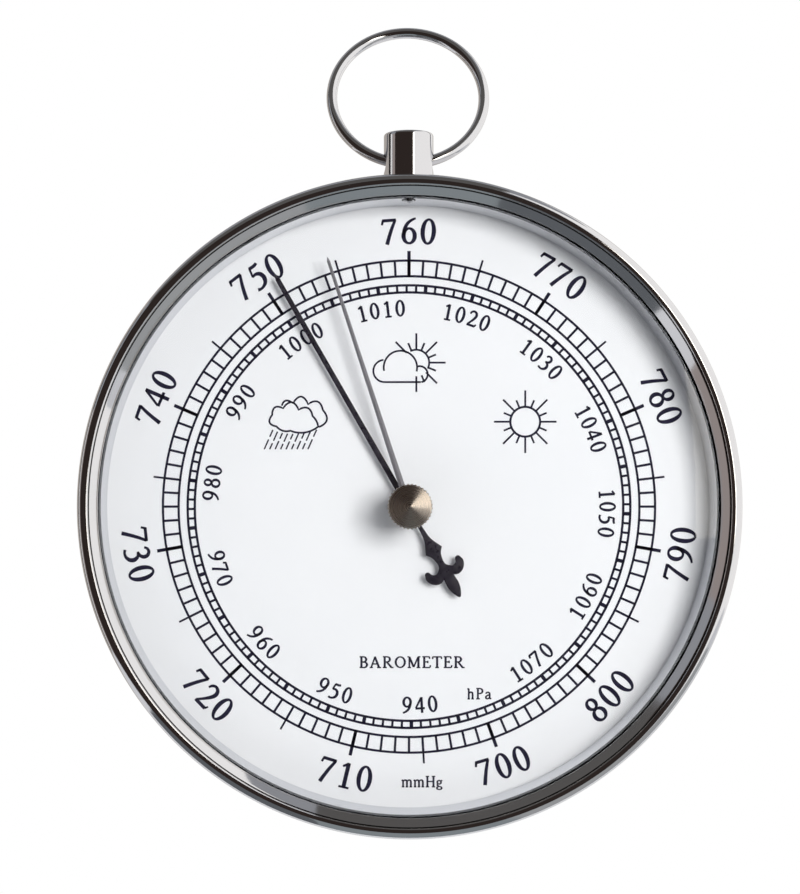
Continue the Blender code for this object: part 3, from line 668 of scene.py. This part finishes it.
def make_knob():
    """A knurled knob with a low cone on its face, turned with fine concentric lines."""
    size = radius("set_knob")
    low, tip = rear("set_knob"), front("set_knob")
    edge = tip - 0.8
    bore, hollow = 1.8, tip - 1.5
    face_radius = size - 0.32
    lines, line_depth = 30, 0.0012
    face = [(0.0, tip - 0.02), (0.08, tip - 0.022)]
    for i in range(1, lines + 1):
        at_radius = 0.1 + (face_radius - 0.1) * i / lines
        drop = (tip - edge) * at_radius / size
        face.append((at_radius, tip - drop - (line_depth if i % 2 else 0.0)))
    shoulder = [
        (size - 0.10, edge - 0.10),
        (size, edge - 0.32),
        (size, low + 1.35),
        (size - 0.25, low + 1.05),
        (size - 0.75, low + 0.25),
        (size - 0.95, low),
    ]
    profile = face + shoulder + [(bore, low), (bore, hollow), (0.0, hollow)]
    cut_from = len(face)
    cut_depths = (0.20, 0.30, 0.30, 0.18)

    def knurl(index, angle):
        if not cut_from <= index < cut_from + len(cut_depths):
            return 0.0
        wave = abs(((angle * KNURL_TEETH / (2 * math.pi)) % 1.0) * 2 - 1)
        return cut_depths[index - cut_from] * wave

    knob = new_object("knob", *lathe(profile, KNURL_TEETH * 10, knurl), sharp=40.0)
    show(knob, NICKEL, "nickel", "set_hand", "set_knob")


def make_set_hand():
    """A bright pointer with a ridge along it, on a thin round hub."""
    low, high = rear("set_hand"), front("set_hand")
    length = 51.4
    root, tip = 0.60, 0.30
    side = low + 0.14
    hub_inner, hub_outer, hub_top = 1.8, 4.0, high - 0.1
    points, faces = [], []
    for along, half in ((2.5, root), (length - 1.0, tip)):
        crest = high if along > 3.0 else high - 0.02
        points += [(-half, along, low), (-half, along, side), (0.0, along, crest)]
        points += [(half, along, side), (half, along, low)]
    points += [(0.0, length, low), (0.0, length, side)]
    for i in range(4):
        faces.append((i, i + 1, i + 6, i + 5))
    faces += [(4, 0, 5, 9), (0, 4, 3, 2, 1)]
    faces += [(5, 6, 11, 10), (6, 7, 11), (7, 8, 11), (8, 9, 10, 11), (5, 10, 9)]
    place = clockwise(SET_HAND_CLOCK)
    blade = new_object("marker_hand", points, faces, place, sharp=10.0)
    corners = [
        (hub_inner, low, 0.03),
        (hub_outer, low, 0.05),
        (hub_outer, hub_top, 0.1),
        (hub_inner, hub_top, 0.03),
    ]
    combine(blade, turned("hub", eased(corners), 64, place), "UNION")
    show(blade, SATIN_STEEL, "steel", "set_hand", "set_hand")


def tail_side():
    """One side of the pointer's tail, from the neck under the hub down to its tip."""
    flank = curve_through([(0.42, -4.2), (0.45, -5.4), (0.72, -7.6), (1.83, -10.06)])
    waist = curve_through([(1.83, -10.06), (1.02, -11.1), (0.66, -12.6), (0.78, -13.4), (1.15, -13.9)])
    arm_inside = curve_through([(1.15, -13.9), (1.85, -14.35), (2.60, -14.05), (2.88, -13.45)])
    arm_end = arc((3.42, -13.62), 0.57, 162.0, 20.0, 7)
    arm_outside = curve_through(
        [(4.05, -13.8), (4.18, -14.4), (3.80, -15.35), (3.0, -16.1), (2.0, -16.35), (1.1, -16.0)]
    )
    leaf = curve_through([(1.1, -16.0), (1.17, -16.9), (1.20, -17.8), (0.92, -19.1), (0.25, -20.4)])
    return flank[:-1] + waist[:-1] + arm_inside[:-1] + arm_end + arm_outside[:-1] + leaf


def make_hand():
    """The black pointer with its cross-shaped tail."""
    low, high = rear("indicating_hand"), front("indicating_hand")
    length, half_tip, half_root = 52.6, 0.48, 0.58
    hub, bore_radius = 2.6, 1.6
    right = [(0.16, length), (half_tip, length - 1.2), (half_root, 3.0)]
    start = math.degrees(math.atan2(2.5, half_root))
    right += arc((0.0, 0.0), hub, start, -80.0, 16)
    right += tail_side()
    outline = right + [(0.0, -20.5)] + [(-x, y) for x, y in reversed(right)]
    bore = arc((0.0, 0.0), bore_radius, 0.0, 348.75, 32)
    hand = flat_piece("pointer", outline, low, high, 0.09, clockwise(HAND_CLOCK), [bore])
    show(hand, HAND_ENAMEL, "hand_enamel", "indicator", "indicating_hand")


# ---- printing on the dial


PRINT_SHIFT = 0.22  # how far the print sits to the right of the case's axis, in millimetres


class Print:
    """A sheet of ink: strokes that stand a hair above the dial, all in one mesh."""

    low, high = DIAL_FRONT - 0.02, DIAL_FRONT + 0.03

    def __init__(self):
        self.points = []
        self.faces = []

    def band(self, left, right, closed=False):
        """A closed strip between two edges, given as dial points."""
        first, count = len(self.points), len(left)
        for one, two in zip(left, right):
            self.points += [(*one, self.high), (*two, self.high), (*two, self.low), (*one, self.low)]
        for i in range(count if closed else count - 1):
            here, there = first + 4 * i, first + 4 * ((i + 1) % count)
            for k in range(4):
                m = (k + 1) % 4
                self.faces.append((here + k, here + m, there + m, there + k))
        if not closed:
            last = first + 4 * (count - 1)
            self.faces += [tuple(range(first, first + 4)), tuple(range(last + 3, last - 1, -1))]

    def stroke(self, samples, place=Matrix.Identity(3), closed=False, least=0.0):
        """A line through samples (x, y, width), put in place by a 3 x 3 matrix.

        least is the width that the finest hairline gets, which thickens thin strokes most.
        """
        left, right = [], []
        count = len(samples)
        for i, (x, y, width) in enumerate(samples):
            before = samples[i - 1] if closed or i else samples[0]
            after = samples[(i + 1) % count] if closed or i < count - 1 else samples[-1]
            along = Vector((after[0] - before[0], after[1] - before[1])).normalized()
            across = Vector((-along.y, along.x)) * (least + (1.0 - least * 5.5) * width) / 2
            for edge, sign in ((left, 1.0), (right, -1.0)):
                point = place @ Vector((x + sign * across.x, y + sign * across.y, 1.0))
                edge.append((point.x, point.y))
        self.band(left, right, closed)

    def line(self, start, end, width, place=Matrix.Identity(3)):
        """A straight line."""
        self.stroke([(*start, width), (*end, width)], place)

    def arc(self, centre, size, start, end, width, place=Matrix.Identity(3)):
        """A round line from one angle to another."""
        count = max(6, int(abs(end - start) / 6))
        self.stroke([(x, y, width) for x, y in arc(centre, size, start, end, count)], place)

    def circle(self, centre, size, width, count=48, place=Matrix.Identity(3)):
        """A full round line."""
        points = arc(centre, size, 0.0, 360.0 * (count - 1) / count, count)
        self.stroke([(x, y, width) for x, y in points], place, closed=True)

    def finish(self, name):
        """Makes the piece."""
        sheet = new_object(name, self.points, self.faces, at(PRINT_SHIFT))
        show(sheet, INK, "hand_enamel", "case")


def shifted(x, y, size=1.0, turn=0.0, stretch=1.0):
    """A 3 x 3 matrix that scales a sign, turns it clockwise by degrees and moves it."""
    a = math.radians(turn)
    wide, tall = size * stretch, size
    return Matrix(
        (
            (wide * math.cos(a), tall * math.sin(a), x),
            (-wide * math.sin(a), tall * math.cos(a), y),
            (0.0, 0.0, 1.0),
        )
    )


def oval(x, y, half_width, half_height, thin, thick, count=28):
    """A closed loop whose sides are thicker than its top and bottom."""
    samples = []
    for i in range(count):
        a = 2 * math.pi * i / count
        width = thin + (thick - thin) * abs(math.cos(a)) ** 1.6
        samples.append((x + half_width * math.cos(a), y + half_height * math.sin(a), width))
    return ("loop", samples)


def run(*points):
    """An open stroke that is smooth through its points (x, y, width)."""
    return ("run", curve_through(points))


def stem(x, low=0.03, high=0.97, width=0.14):
    """An upright."""
    return run((x, high, width), (x, low, width))


def serif(left, right, y, width=0.05):
    """A level hairline."""
    return run((left, y, width), (right, y, width))


def turned_round(strokes, width):
    """The same strokes turned upside down."""
    return [(kind, [(width - x, 1.0 - y, w) for x, y, w in samples]) for kind, samples in strokes]


def arch(x, top_y=0.64):
    """The shoulder and right leg of an n, from its left leg at x."""
    return run(
        (x + 0.02, top_y - 0.12, 0.05),
        (x + 0.12, top_y - 0.01, 0.08),
        (x + 0.26, top_y - 0.02, 0.12),
        (x + 0.32, top_y - 0.16, 0.13),
        (x + 0.32, 0.03, 0.12),
    )


def upper_bowl(right=0.55):
    """The round of a P or an R."""
    return run(
        (0.28, 0.975, 0.05), (right - 0.08, 0.93, 0.09), (right, 0.75, 0.15), (right - 0.08, 0.56, 0.09),
        (0.22, 0.505, 0.05),
    )


def make_glyphs():
    """Each sign as (width, strokes), in units of its height, drawn from the base line up."""
    six = [
        oval(0.305, 0.31, 0.215, 0.285, 0.06, 0.16),
        run((0.095, 0.33, 0.14), (0.13, 0.56, 0.13), (0.23, 0.77, 0.11), (0.39, 0.91, 0.08),
            (0.56, 0.985, 0.04)),
    ]
    foot = 0.025
    head = 0.975
    return {
        "0": (0.60, [oval(0.30, 0.50, 0.215, 0.465, 0.06, 0.165)]),
        "1": (
            0.60,
            [stem(0.33, width=0.15), run((0.13, 0.81, 0.05), (0.24, 0.88, 0.07), (0.36, 0.96, 0.06)),
             serif(0.13, 0.53, foot)],
        ),
        "2": (
            0.60,
            [run((0.07, 0.74, 0.05), (0.13, 0.88, 0.08), (0.27, 0.95, 0.09), (0.42, 0.88, 0.13),
                 (0.47, 0.72, 0.155), (0.41, 0.54, 0.13), (0.25, 0.30, 0.08), (0.09, 0.10, 0.06)),
             run((0.04, 0.065, 0.12), (0.55, 0.065, 0.12)), run((0.535, 0.06, 0.05), (0.60, 0.20, 0.03))],
        ),
        "3": (
            0.60,
            [run((0.07, 0.80, 0.05), (0.14, 0.91, 0.08), (0.27, 0.95, 0.10), (0.40, 0.87, 0.13),
                 (0.43, 0.73, 0.14), (0.36, 0.60, 0.10), (0.20, 0.53, 0.05)),
             run((0.20, 0.535, 0.05), (0.38, 0.50, 0.10), (0.48, 0.35, 0.16), (0.46, 0.18, 0.15),
                 (0.33, 0.05, 0.10), (0.17, 0.02, 0.07), (0.04, 0.06, 0.09))],
        ),
        "4": (
            0.60,
            [run((0.41, 0.96, 0.07), (0.04, 0.31, 0.06)), serif(0.02, 0.60, 0.285, 0.09),
             stem(0.42, 0.0, 0.98, 0.13)],
        ),
        "5": (
            0.60,
            [run((0.17, 0.905, 0.11), (0.40, 0.91, 0.11), (0.53, 0.955, 0.09)),
             run((0.195, 0.92, 0.05), (0.13, 0.56, 0.05)),
             run((0.12, 0.565, 0.05), (0.28, 0.60, 0.10), (0.43, 0.52, 0.15), (0.49, 0.34, 0.17),
                 (0.43, 0.15, 0.14), (0.28, 0.04, 0.09), (0.14, 0.015, 0.08), (0.03, 0.045, 0.12))],
        ),
        "6": (0.60, six),
        "7": (
            0.60,
            [run((0.04, 0.925, 0.10), (0.57, 0.925, 0.10)), run((0.075, 0.95, 0.07), (0.015, 0.76, 0.05)),
             run((0.54, 0.93, 0.08), (0.385, 0.60, 0.11), (0.26, 0.28, 0.125), (0.165, 0.0, 0.14))],
        ),
        "8": (
            0.60,
            [oval(0.30, 0.745, 0.17, 0.205, 0.06, 0.13), oval(0.30, 0.265, 0.215, 0.24, 0.06, 0.155)],
        ),
        "9": (0.60, turned_round(six, 0.61)),
        "A": (
            0.86,
            [run((0.13, foot, 0.06), (0.42, 0.98, 0.06)), run((0.40, 0.99, 0.14), (0.71, foot, 0.15)),
             serif(0.22, 0.58, 0.34), serif(0.02, 0.26, foot), serif(0.56, 0.86, foot)],
        ),
        "B": (
            0.66,
            [stem(0.17), serif(0.03, 0.30, head), serif(0.03, 0.32, foot), upper_bowl(0.52),
             run((0.22, 0.505, 0.05), (0.48, 0.47, 0.09), (0.58, 0.27, 0.15), (0.48, 0.06, 0.09),
                 (0.30, foot, 0.05))],
        ),
        "E": (
            0.66,
            [stem(0.17), serif(0.03, 0.56, head), serif(0.17, 0.44, 0.52), serif(0.03, 0.60, foot),
             run((0.55, 0.98, 0.05), (0.56, 0.78, 0.03)), run((0.43, 0.63, 0.03), (0.43, 0.41, 0.03)),
             run((0.59, 0.02, 0.05), (0.63, 0.24, 0.03))],
        ),
        "H": (
            0.86,
            [stem(0.18), stem(0.68), serif(0.18, 0.68, 0.51)]
            + [serif(x - 0.14, x + 0.14, y) for x in (0.18, 0.68) for y in (foot, head)],
        ),
        "M": (
            0.98,
            [stem(0.15, width=0.06), run((0.15, 0.97, 0.15), (0.47, 0.06, 0.12)),
             run((0.47, 0.06, 0.05), (0.80, 0.97, 0.06)), stem(0.82, width=0.15), serif(0.01, 0.16, head),
             serif(0.02, 0.28, foot), serif(0.68, 0.96, foot), serif(0.80, 0.97, head)],
        ),
        "O": (0.84, [oval(0.42, 0.50, 0.335, 0.465, 0.06, 0.15)]),
        "P": (0.64, [stem(0.17), serif(0.03, 0.30, head), serif(0.03, 0.33, foot), upper_bowl()]),
        "R": (
            0.80,
            [stem(0.17), serif(0.03, 0.30, head), serif(0.03, 0.33, foot), upper_bowl(),
             run((0.34, 0.50, 0.10), (0.67, foot, 0.15)), serif(0.60, 0.82, foot)],
        ),
        "T": (
            0.72,
            [stem(0.36), serif(0.03, 0.69, 0.965, 0.06), run((0.045, 0.98, 0.05), (0.03, 0.77, 0.03)),
             run((0.675, 0.98, 0.05), (0.69, 0.77, 0.03)), serif(0.22, 0.50, foot)],
        ),
        "a": (
            0.56,
            [run((0.09, 0.49, 0.09), (0.16, 0.60, 0.07), (0.28, 0.63, 0.08), (0.38, 0.57, 0.11),
                 (0.41, 0.44, 0.12), (0.41, 0.14, 0.12), (0.46, 0.05, 0.08), (0.55, 0.06, 0.05)),
             run((0.40, 0.39, 0.05), (0.22, 0.34, 0.08), (0.10, 0.22, 0.12), (0.11, 0.09, 0.12),
                 (0.22, 0.03, 0.08), (0.34, 0.09, 0.06), (0.41, 0.17, 0.05))],
        ),
        "g": (
            0.58,
            [oval(0.26, 0.44, 0.155, 0.165, 0.05, 0.11), run((0.38, 0.55, 0.05), (0.52, 0.62, 0.07)),
             run((0.16, 0.29, 0.05), (0.10, 0.19, 0.08), (0.22, 0.10, 0.10)),
             oval(0.27, -0.09, 0.20, 0.13, 0.05, 0.11)],
        ),
        "h": (
            0.64,
            [stem(0.15, width=0.12), arch(0.15), run((0.02, 0.93, 0.05), (0.17, 0.975, 0.05)),
             serif(0.04, 0.26, foot), serif(0.36, 0.58, foot)],
        ),
        "m": (
            0.96,
            [stem(0.15, high=0.64, width=0.12), arch(0.15), arch(0.47),
             run((0.02, 0.60, 0.05), (0.17, 0.65, 0.05)),
             serif(0.04, 0.26, foot), serif(0.36, 0.58, foot), serif(0.68, 0.90, foot)],
        ),
    }


GLYPHS = make_glyphs()


def draw_glyph(sheet, sign, place, least):
    """Draws one sign."""
    for kind, samples in GLYPHS[sign][1]:
        sheet.stroke(samples, place, kind == "loop", least)


def draw_word(sheet, word, x, y, size, spacing, stretch=1.0):
    """A level word whose base line is at y, centred on x."""
    widths = [GLYPHS[sign][0] * size * stretch for sign in word]
    left = x - (sum(widths) + spacing * (len(word) - 1)) / 2
    for sign, width in zip(word, widths):
        draw_glyph(sheet, sign, shifted(left, y, size, 0.0, stretch), 0.095)
        left += width + spacing


def draw_round(sheet, text, clock, inner, size, advance, upside_down, least):
    """Numerals round the dial, from a radius outwards. Upside down, their tops point inwards."""
    middle = inner + size / 2
    for i, sign in enumerate(text):
        shift = (i - (len(text) - 1) / 2) * advance
        half = GLYPHS[sign][0] * size / 2
        turn = clock + math.degrees(shift / middle) * (-1.0 if upside_down else 1.0)
        ray = math.radians(turn)
        out = Vector((math.sin(ray), math.cos(ray)))
        right = Vector((math.cos(ray), -math.sin(ray)))
        if upside_down:
            corner = out * (inner + size) + right * half
            draw_glyph(sheet, sign, shifted(corner.x, corner.y, size, turn + 180.0), least)
        else:
            corner = out * inner - right * half
            draw_glyph(sheet, sign, shifted(corner.x, corner.y, size, turn), least)


def ray_line(sheet, clock, inner, outer, width):
    """A radial line at a clock angle."""
    a = math.radians(clock)
    sheet.line((inner * math.sin(a), inner * math.cos(a)), (outer * math.sin(a), outer * math.cos(a)), width)


DEGREES_A_MMHG = 10.0 / 3.0
DEGREES_A_HPA = 2.5
STANDARD_MMHG, STANDARD_HPA = 760, 1013.25


def make_mmhg_scale():
    """The outer ladder, one cell a millimetre, with marks outside it each five and ten."""
    inner, outer = 45.6, 48.7
    sheet = Print()
    for size in (inner, outer):
        sheet.circle((0.0, 0.0), size, 0.46, 288)
    for cell in range(108):
        ray_line(sheet, cell * DEGREES_A_MMHG, inner, outer, 0.47)
    for value in range(700, 801, 5):
        clock = (value - STANDARD_MMHG) * DEGREES_A_MMHG
        if value % 10:
            ray_line(sheet, clock, outer, 50.9, 0.40)
        else:
            ray_line(sheet, clock, inner - 0.15, 50.6, 0.66)
    sheet.finish("scale_mmhg")


def make_hpa_scale():
    """The inner ladder, one cell a hectopascal, with a bold line each five."""
    inner, outer = 42.4, 43.8
    sheet = Print()
    for size in (inner, outer):
        sheet.circle((0.0, 0.0), size, 0.48, 288)
    for cell in range(144):
        clock = (950 - STANDARD_HPA + cell) * DEGREES_A_HPA
        ray_line(sheet, clock, inner, outer, 0.46 if cell % 5 else 0.72)
    sheet.finish("scale_hpa")


def make_numerals():
    """The figures of both scales."""
    sheet = Print()
    for value in range(700, 801, 10):
        clock = (value - STANDARD_MMHG) * DEGREES_A_MMHG
        draw_round(sheet, str(value), clock, 52.0, 5.15, 3.82, not 740 <= value <= 780, 0.048)
    sheet.finish("numerals_mmhg")
    sheet = Print()
    for value in range(940, 1071, 10):
        clock = (value - STANDARD_HPA) * DEGREES_A_HPA
        draw_round(sheet, str(value), clock, 37.7, 3.2, 2.54, not 980 <= value <= 1050, 0.09)
    sheet.finish("numerals_hpa")


def make_words():
    """The kind of instrument and the two units."""
    sheet = Print()
    draw_word(sheet, "BAROMETER", 0.55, -31.9, 2.24, 0.26, 1.2)
    sheet.finish("title_word")
    sheet = Print()
    draw_word(sheet, "mmHg", 2.6, -55.5, 2.15, 0.06, 1.12)
    draw_word(sheet, "hPa", 13.9, -38.1, 2.15, 0.25, 1.1)
    sheet.finish("unit_words")


SIGN_LINE = 0.38


def draw_sun(sheet, x, y, size, hidden=()):
    """A round sun with long and short rays in turn. hidden lists rays that a cloud covers."""
    for ray in range(16):
        if ray in hidden:
            continue
        a = math.radians(22.5 * ray)
        inner, outer = size + 0.15, size + (1.65 if ray % 2 else 3.25)
        direction = Vector((math.cos(a), math.sin(a)))
        start, end = direction * inner, direction * outer
        sheet.line((x + start.x, y + start.y), (x + end.x, y + end.y), SIGN_LINE)


def make_fair_sign():
    """A plain sun."""
    sheet = Print()
    draw_sun(sheet, 23.0, 16.8, 2.95)
    sheet.circle((23.0, 16.8), 2.95, SIGN_LINE + 0.06)
    sheet.finish("sign_fair")


def make_changeable_sign():
    """A cloud of three rounds with the sun half behind it."""
    sheet = Print()
    draw_sun(sheet, 1.45, 28.5, 2.55, hidden=(7, 8, 9, 10, 11))
    sheet.arc((1.45, 28.5), 2.55, -28.0, 118.0, SIGN_LINE)
    sheet.arc((-4.85, 26.85), 2.2, 95.0, 270.0, SIGN_LINE)
    sheet.line((-4.85, 24.65), (2.35, 24.65), SIGN_LINE)
    sheet.arc((2.1, 26.2), 1.6, -78.0, 108.0, SIGN_LINE)
    sheet.arc((-1.7, 27.55), 3.3, 192.0, -14.0, SIGN_LINE)
    sheet.finish("sign_changeable")


def scallops(points, bulges):
    """Samples along a line whose stretches between points bulge out by a share of their chord."""
    samples = []
    for start, end, bulge in zip(points, points[1:], bulges):
        start, end = Vector(start), Vector(end)
        chord = end - start
        across = Vector((-chord.y, chord.x)) * bulge
        for i in range(10):
            t = i / 10
            rise = math.sin(math.pi * t) ** 0.8
            point = start + chord * t + across * rise
            samples.append((point.x, point.y, SIGN_LINE))
    return samples


def make_rain_sign():
    """A puffy cloud before another, with slanting rain under it."""
    sheet = Print()
    place = shifted(-22.3, 16.75)
    cloud = [(-4.77, 1.38), (-2.62, 2.70), (0.46, 2.40), (3.20, 1.16), (4.31, -0.92), (-1.19, -1.72),
             (-3.93, -0.86)]
    front_cloud = scallops(cloud + cloud[:1], (0.40, 0.44, 0.36, 0.10, 0.14, 0.16, 0.42))
    sheet.stroke(front_cloud, place, closed=True)
    back_cloud = [(-2.95, 2.75), (-0.64, 3.70), (2.33, 3.50), (5.25, 2.35), (4.40, -1.0)]
    behind = scallops(back_cloud, (0.42, 0.48, 0.38, 0.36))
    sheet.stroke(behind[1:] + [(*back_cloud[-1], SIGN_LINE)], place)
    slope = math.tan(math.radians(24.0))
    floor = -5.4
    for column in range(9):
        foot = -6.35 + 1.08 * column
        roof_x = foot + slope * 4.0
        roof = -1.35 - 1.0 * max(0.0, 1.0 - ((roof_x + 0.3) / 4.8) ** 2)
        cut = 0.52 if column % 2 else 0.36
        spans = ((roof, roof + (floor - roof) * cut), (roof + (floor - roof) * (cut + 0.13), floor))
        for high, low in spans:
            start = (foot + slope * (high - floor), high)
            sheet.line(start, (foot + slope * (low - floor), low), 0.30, place)
    sheet.finish("sign_rain")


# ---- stage, light and camera


def plain_material(name, colour, strength=None):
    """A matt pale stage material, faintly lit from within, or one that only glows."""
    material = bpy.data.materials.new(name)
    material.use_nodes = True
    tree = material.node_tree
    shader = tree.nodes["Principled BSDF"]
    if strength is None:
        shader.inputs["Base Color"].default_value = (*colour, 1.0)
        shader.inputs["Roughness"].default_value = 0.8
        shader.inputs["Emission Color"].default_value = (1.0, 1.0, 1.0, 1.0)
        shader.inputs["Emission Strength"].default_value = 0.38
        return material
    tree.nodes.remove(shader)
    glow = add_node(tree, "ShaderNodeEmission", {"Color": (*colour, 1.0), "Strength": strength})
    tree.links.new(glow.outputs["Emission"], tree.nodes["Material Output"].inputs["Surface"])
    return material


def stage_mesh(name, points, faces, material):
    """An object of the stage, from points in metres."""
    mesh = bpy.data.meshes.new(name)
    mesh.from_pydata(points, [], faces)
    mesh.materials.append(material)
    return add_object(name, mesh)


def make_floor():
    """A plain pale floor, well below the hanging instrument."""
    size, level = 2.8, -0.80
    points = [(-size, -size, level), (size, -size, level), (size, size, level), (-size, size, level)]
    pale = plain_material("pale_floor", (0.93, 0.93, 0.93))
    stage_mesh("floor", points, [(0, 1, 2, 3)], pale)


def make_card(name, bearing_from, bearing_to, low, high, distance, colour):
    """A curved card round the object that only mirrors show. Bearings go from the front to the right."""
    count = 16
    points, faces = [], []
    for i in range(count + 1):
        a = math.radians(bearing_from + (bearing_to - bearing_from) * i / count)
        x, y = distance * math.sin(a), -distance * math.cos(a)
        points += [(x, y, low), (x, y, high)]
    for i in range(count):
        faces.append((2 * i, 2 * i + 2, 2 * i + 3, 2 * i + 1))
    show_to_mirrors_only(stage_mesh(name, points, faces, plain_material(name, colour, 1.0)))


def show_to_mirrors_only(card):
    """Keeps a card out of the picture and out of the light on matt surfaces."""
    card.visible_camera = False
    card.visible_diffuse = False
    card.visible_shadow = False
    card.visible_transmission = False
    card.visible_volume_scatter = False


def make_level_card(name, left, right, height, colour):
    """A level card above or below the object that only mirrors show."""
    near, far = -1.7, 0.1
    points = [(left, near, height), (right, near, height), (right, far, height), (left, far, height)]
    show_to_mirrors_only(stage_mesh(name, points, [(0, 1, 2, 3)], plain_material(name, colour, 1.0)))


def make_cards():
    """The dark room, the bright windows and the table, as the instrument's metal mirrors them."""
    make_card("room_dark", -68.0, 24.0, -1.2, 1.3, 1.6, (0.034, 0.025, 0.022))
    make_card("left_line", -82.0, -68.0, -1.3, 0.5, 1.6, (0.36, 0.31, 0.29))
    make_card("left_strip", -93.0, -84.5, -1.3, 0.5, 1.6, (1.02, 1.00, 0.97))
    make_card("left_dark", -106.0, -93.0, -1.3, 1.2, 1.6, (0.010, 0.010, 0.010))
    make_card("left_rear", -180.0, -106.0, -1.3, 1.2, 1.6, (0.50, 0.46, 0.42))
    make_card("window_bright", 24.0, 140.0, -0.5, 2.4, 1.6, (1.10, 1.08, 1.05))
    make_card("rear_pale", 140.0, 180.0, -0.9, 1.2, 1.6, (0.75, 0.72, 0.68))
    make_card("window_pane", 18.5, 24.5, -0.05, 0.62, 1.55, (4.2, 3.95, 3.45))
    make_level_card("ceiling_dark", -1.6, 0.45, 1.3, (0.115, 0.110, 0.105))
    make_level_card("table_left", -0.95, -0.2, -0.78, (0.13, 0.14, 0.15))
    make_level_card("table_middle", -0.2, 0.3, -0.78, (0.27, 0.30, 0.31))
    make_level_card("table_right", 0.3, 1.7, -0.78, (0.40, 0.41, 0.41))


def aim(item, target):
    """Turns a lamp so that it shines at a point."""
    item.rotation_euler = (Vector(target) - item.location).to_track_quat("-Z", "Y").to_euler()


def make_lamp(name, place, width, height, power, colour):
    """A soft rectangular lamp that shines at the dial."""
    data = bpy.data.lights.new(name, "AREA")
    data.shape = "RECTANGLE"
    data.size = width
    data.size_y = height
    data.energy = power
    data.color = colour
    lamp = add_object(name, data)
    lamp.visible_glossy = False
    lamp.location = place
    aim(lamp, (0.0, 0.0, 0.0))


def make_lights():
    """A large window on the right, a little up, and an even pale surround."""
    make_lamp("window_light", (0.40, -1.12, 0.18), 0.50, 0.46, 13.6, (1.0, 0.985, 0.965))
    world = bpy.data.worlds.new("studio")
    world.use_nodes = True
    tree = world.node_tree
    surround = tree.nodes["Background"]
    surround.inputs["Color"].default_value = (0.93, 0.95, 1.0, 1.0)
    surround.inputs["Strength"].default_value = 0.36
    seen = add_node(tree, "ShaderNodeBackground", {"Color": (1.0, 1.0, 1.0, 1.0)})
    ray = add_node(tree, "ShaderNodeLightPath")
    lit, white = surround.outputs["Background"], seen.outputs["Background"]
    mix = add_node(tree, "ShaderNodeMixShader", {0: ray.outputs["Is Camera Ray"], 1: lit, 2: white})
    tree.links.new(mix.outputs["Shader"], tree.nodes["World Output"].inputs["Surface"])
    bpy.context.scene.world = world


def make_camera():
    """A camera level with the middle of the dial, a little to its left."""
    data = bpy.data.cameras.new("camera")
    data.lens = 77.8
    data.sensor_width = 36.0
    data.shift_x = 0.059
    data.shift_y = 0.0667
    data.clip_start = 0.01
    camera = add_object("camera", data)
    camera.location = (-0.012, -0.397, 0.0)
    camera.rotation_euler = (math.radians(90.0), 0.0, 0.0)
    bpy.context.scene.camera = camera


make_camera()
make_lights()
make_floor()
make_cards()
bpy.context.scene.view_settings.view_transform = "Standard"
finish_nodes()
make_case()
make_back_cover()
make_cover_screws()
make_window()
make_hanger()
make_knob()
make_set_hand()
make_hand()
make_mmhg_scale()
make_hpa_scale()
make_numerals()
make_words()
make_fair_sign()
make_changeable_sign()
make_rain_sign()
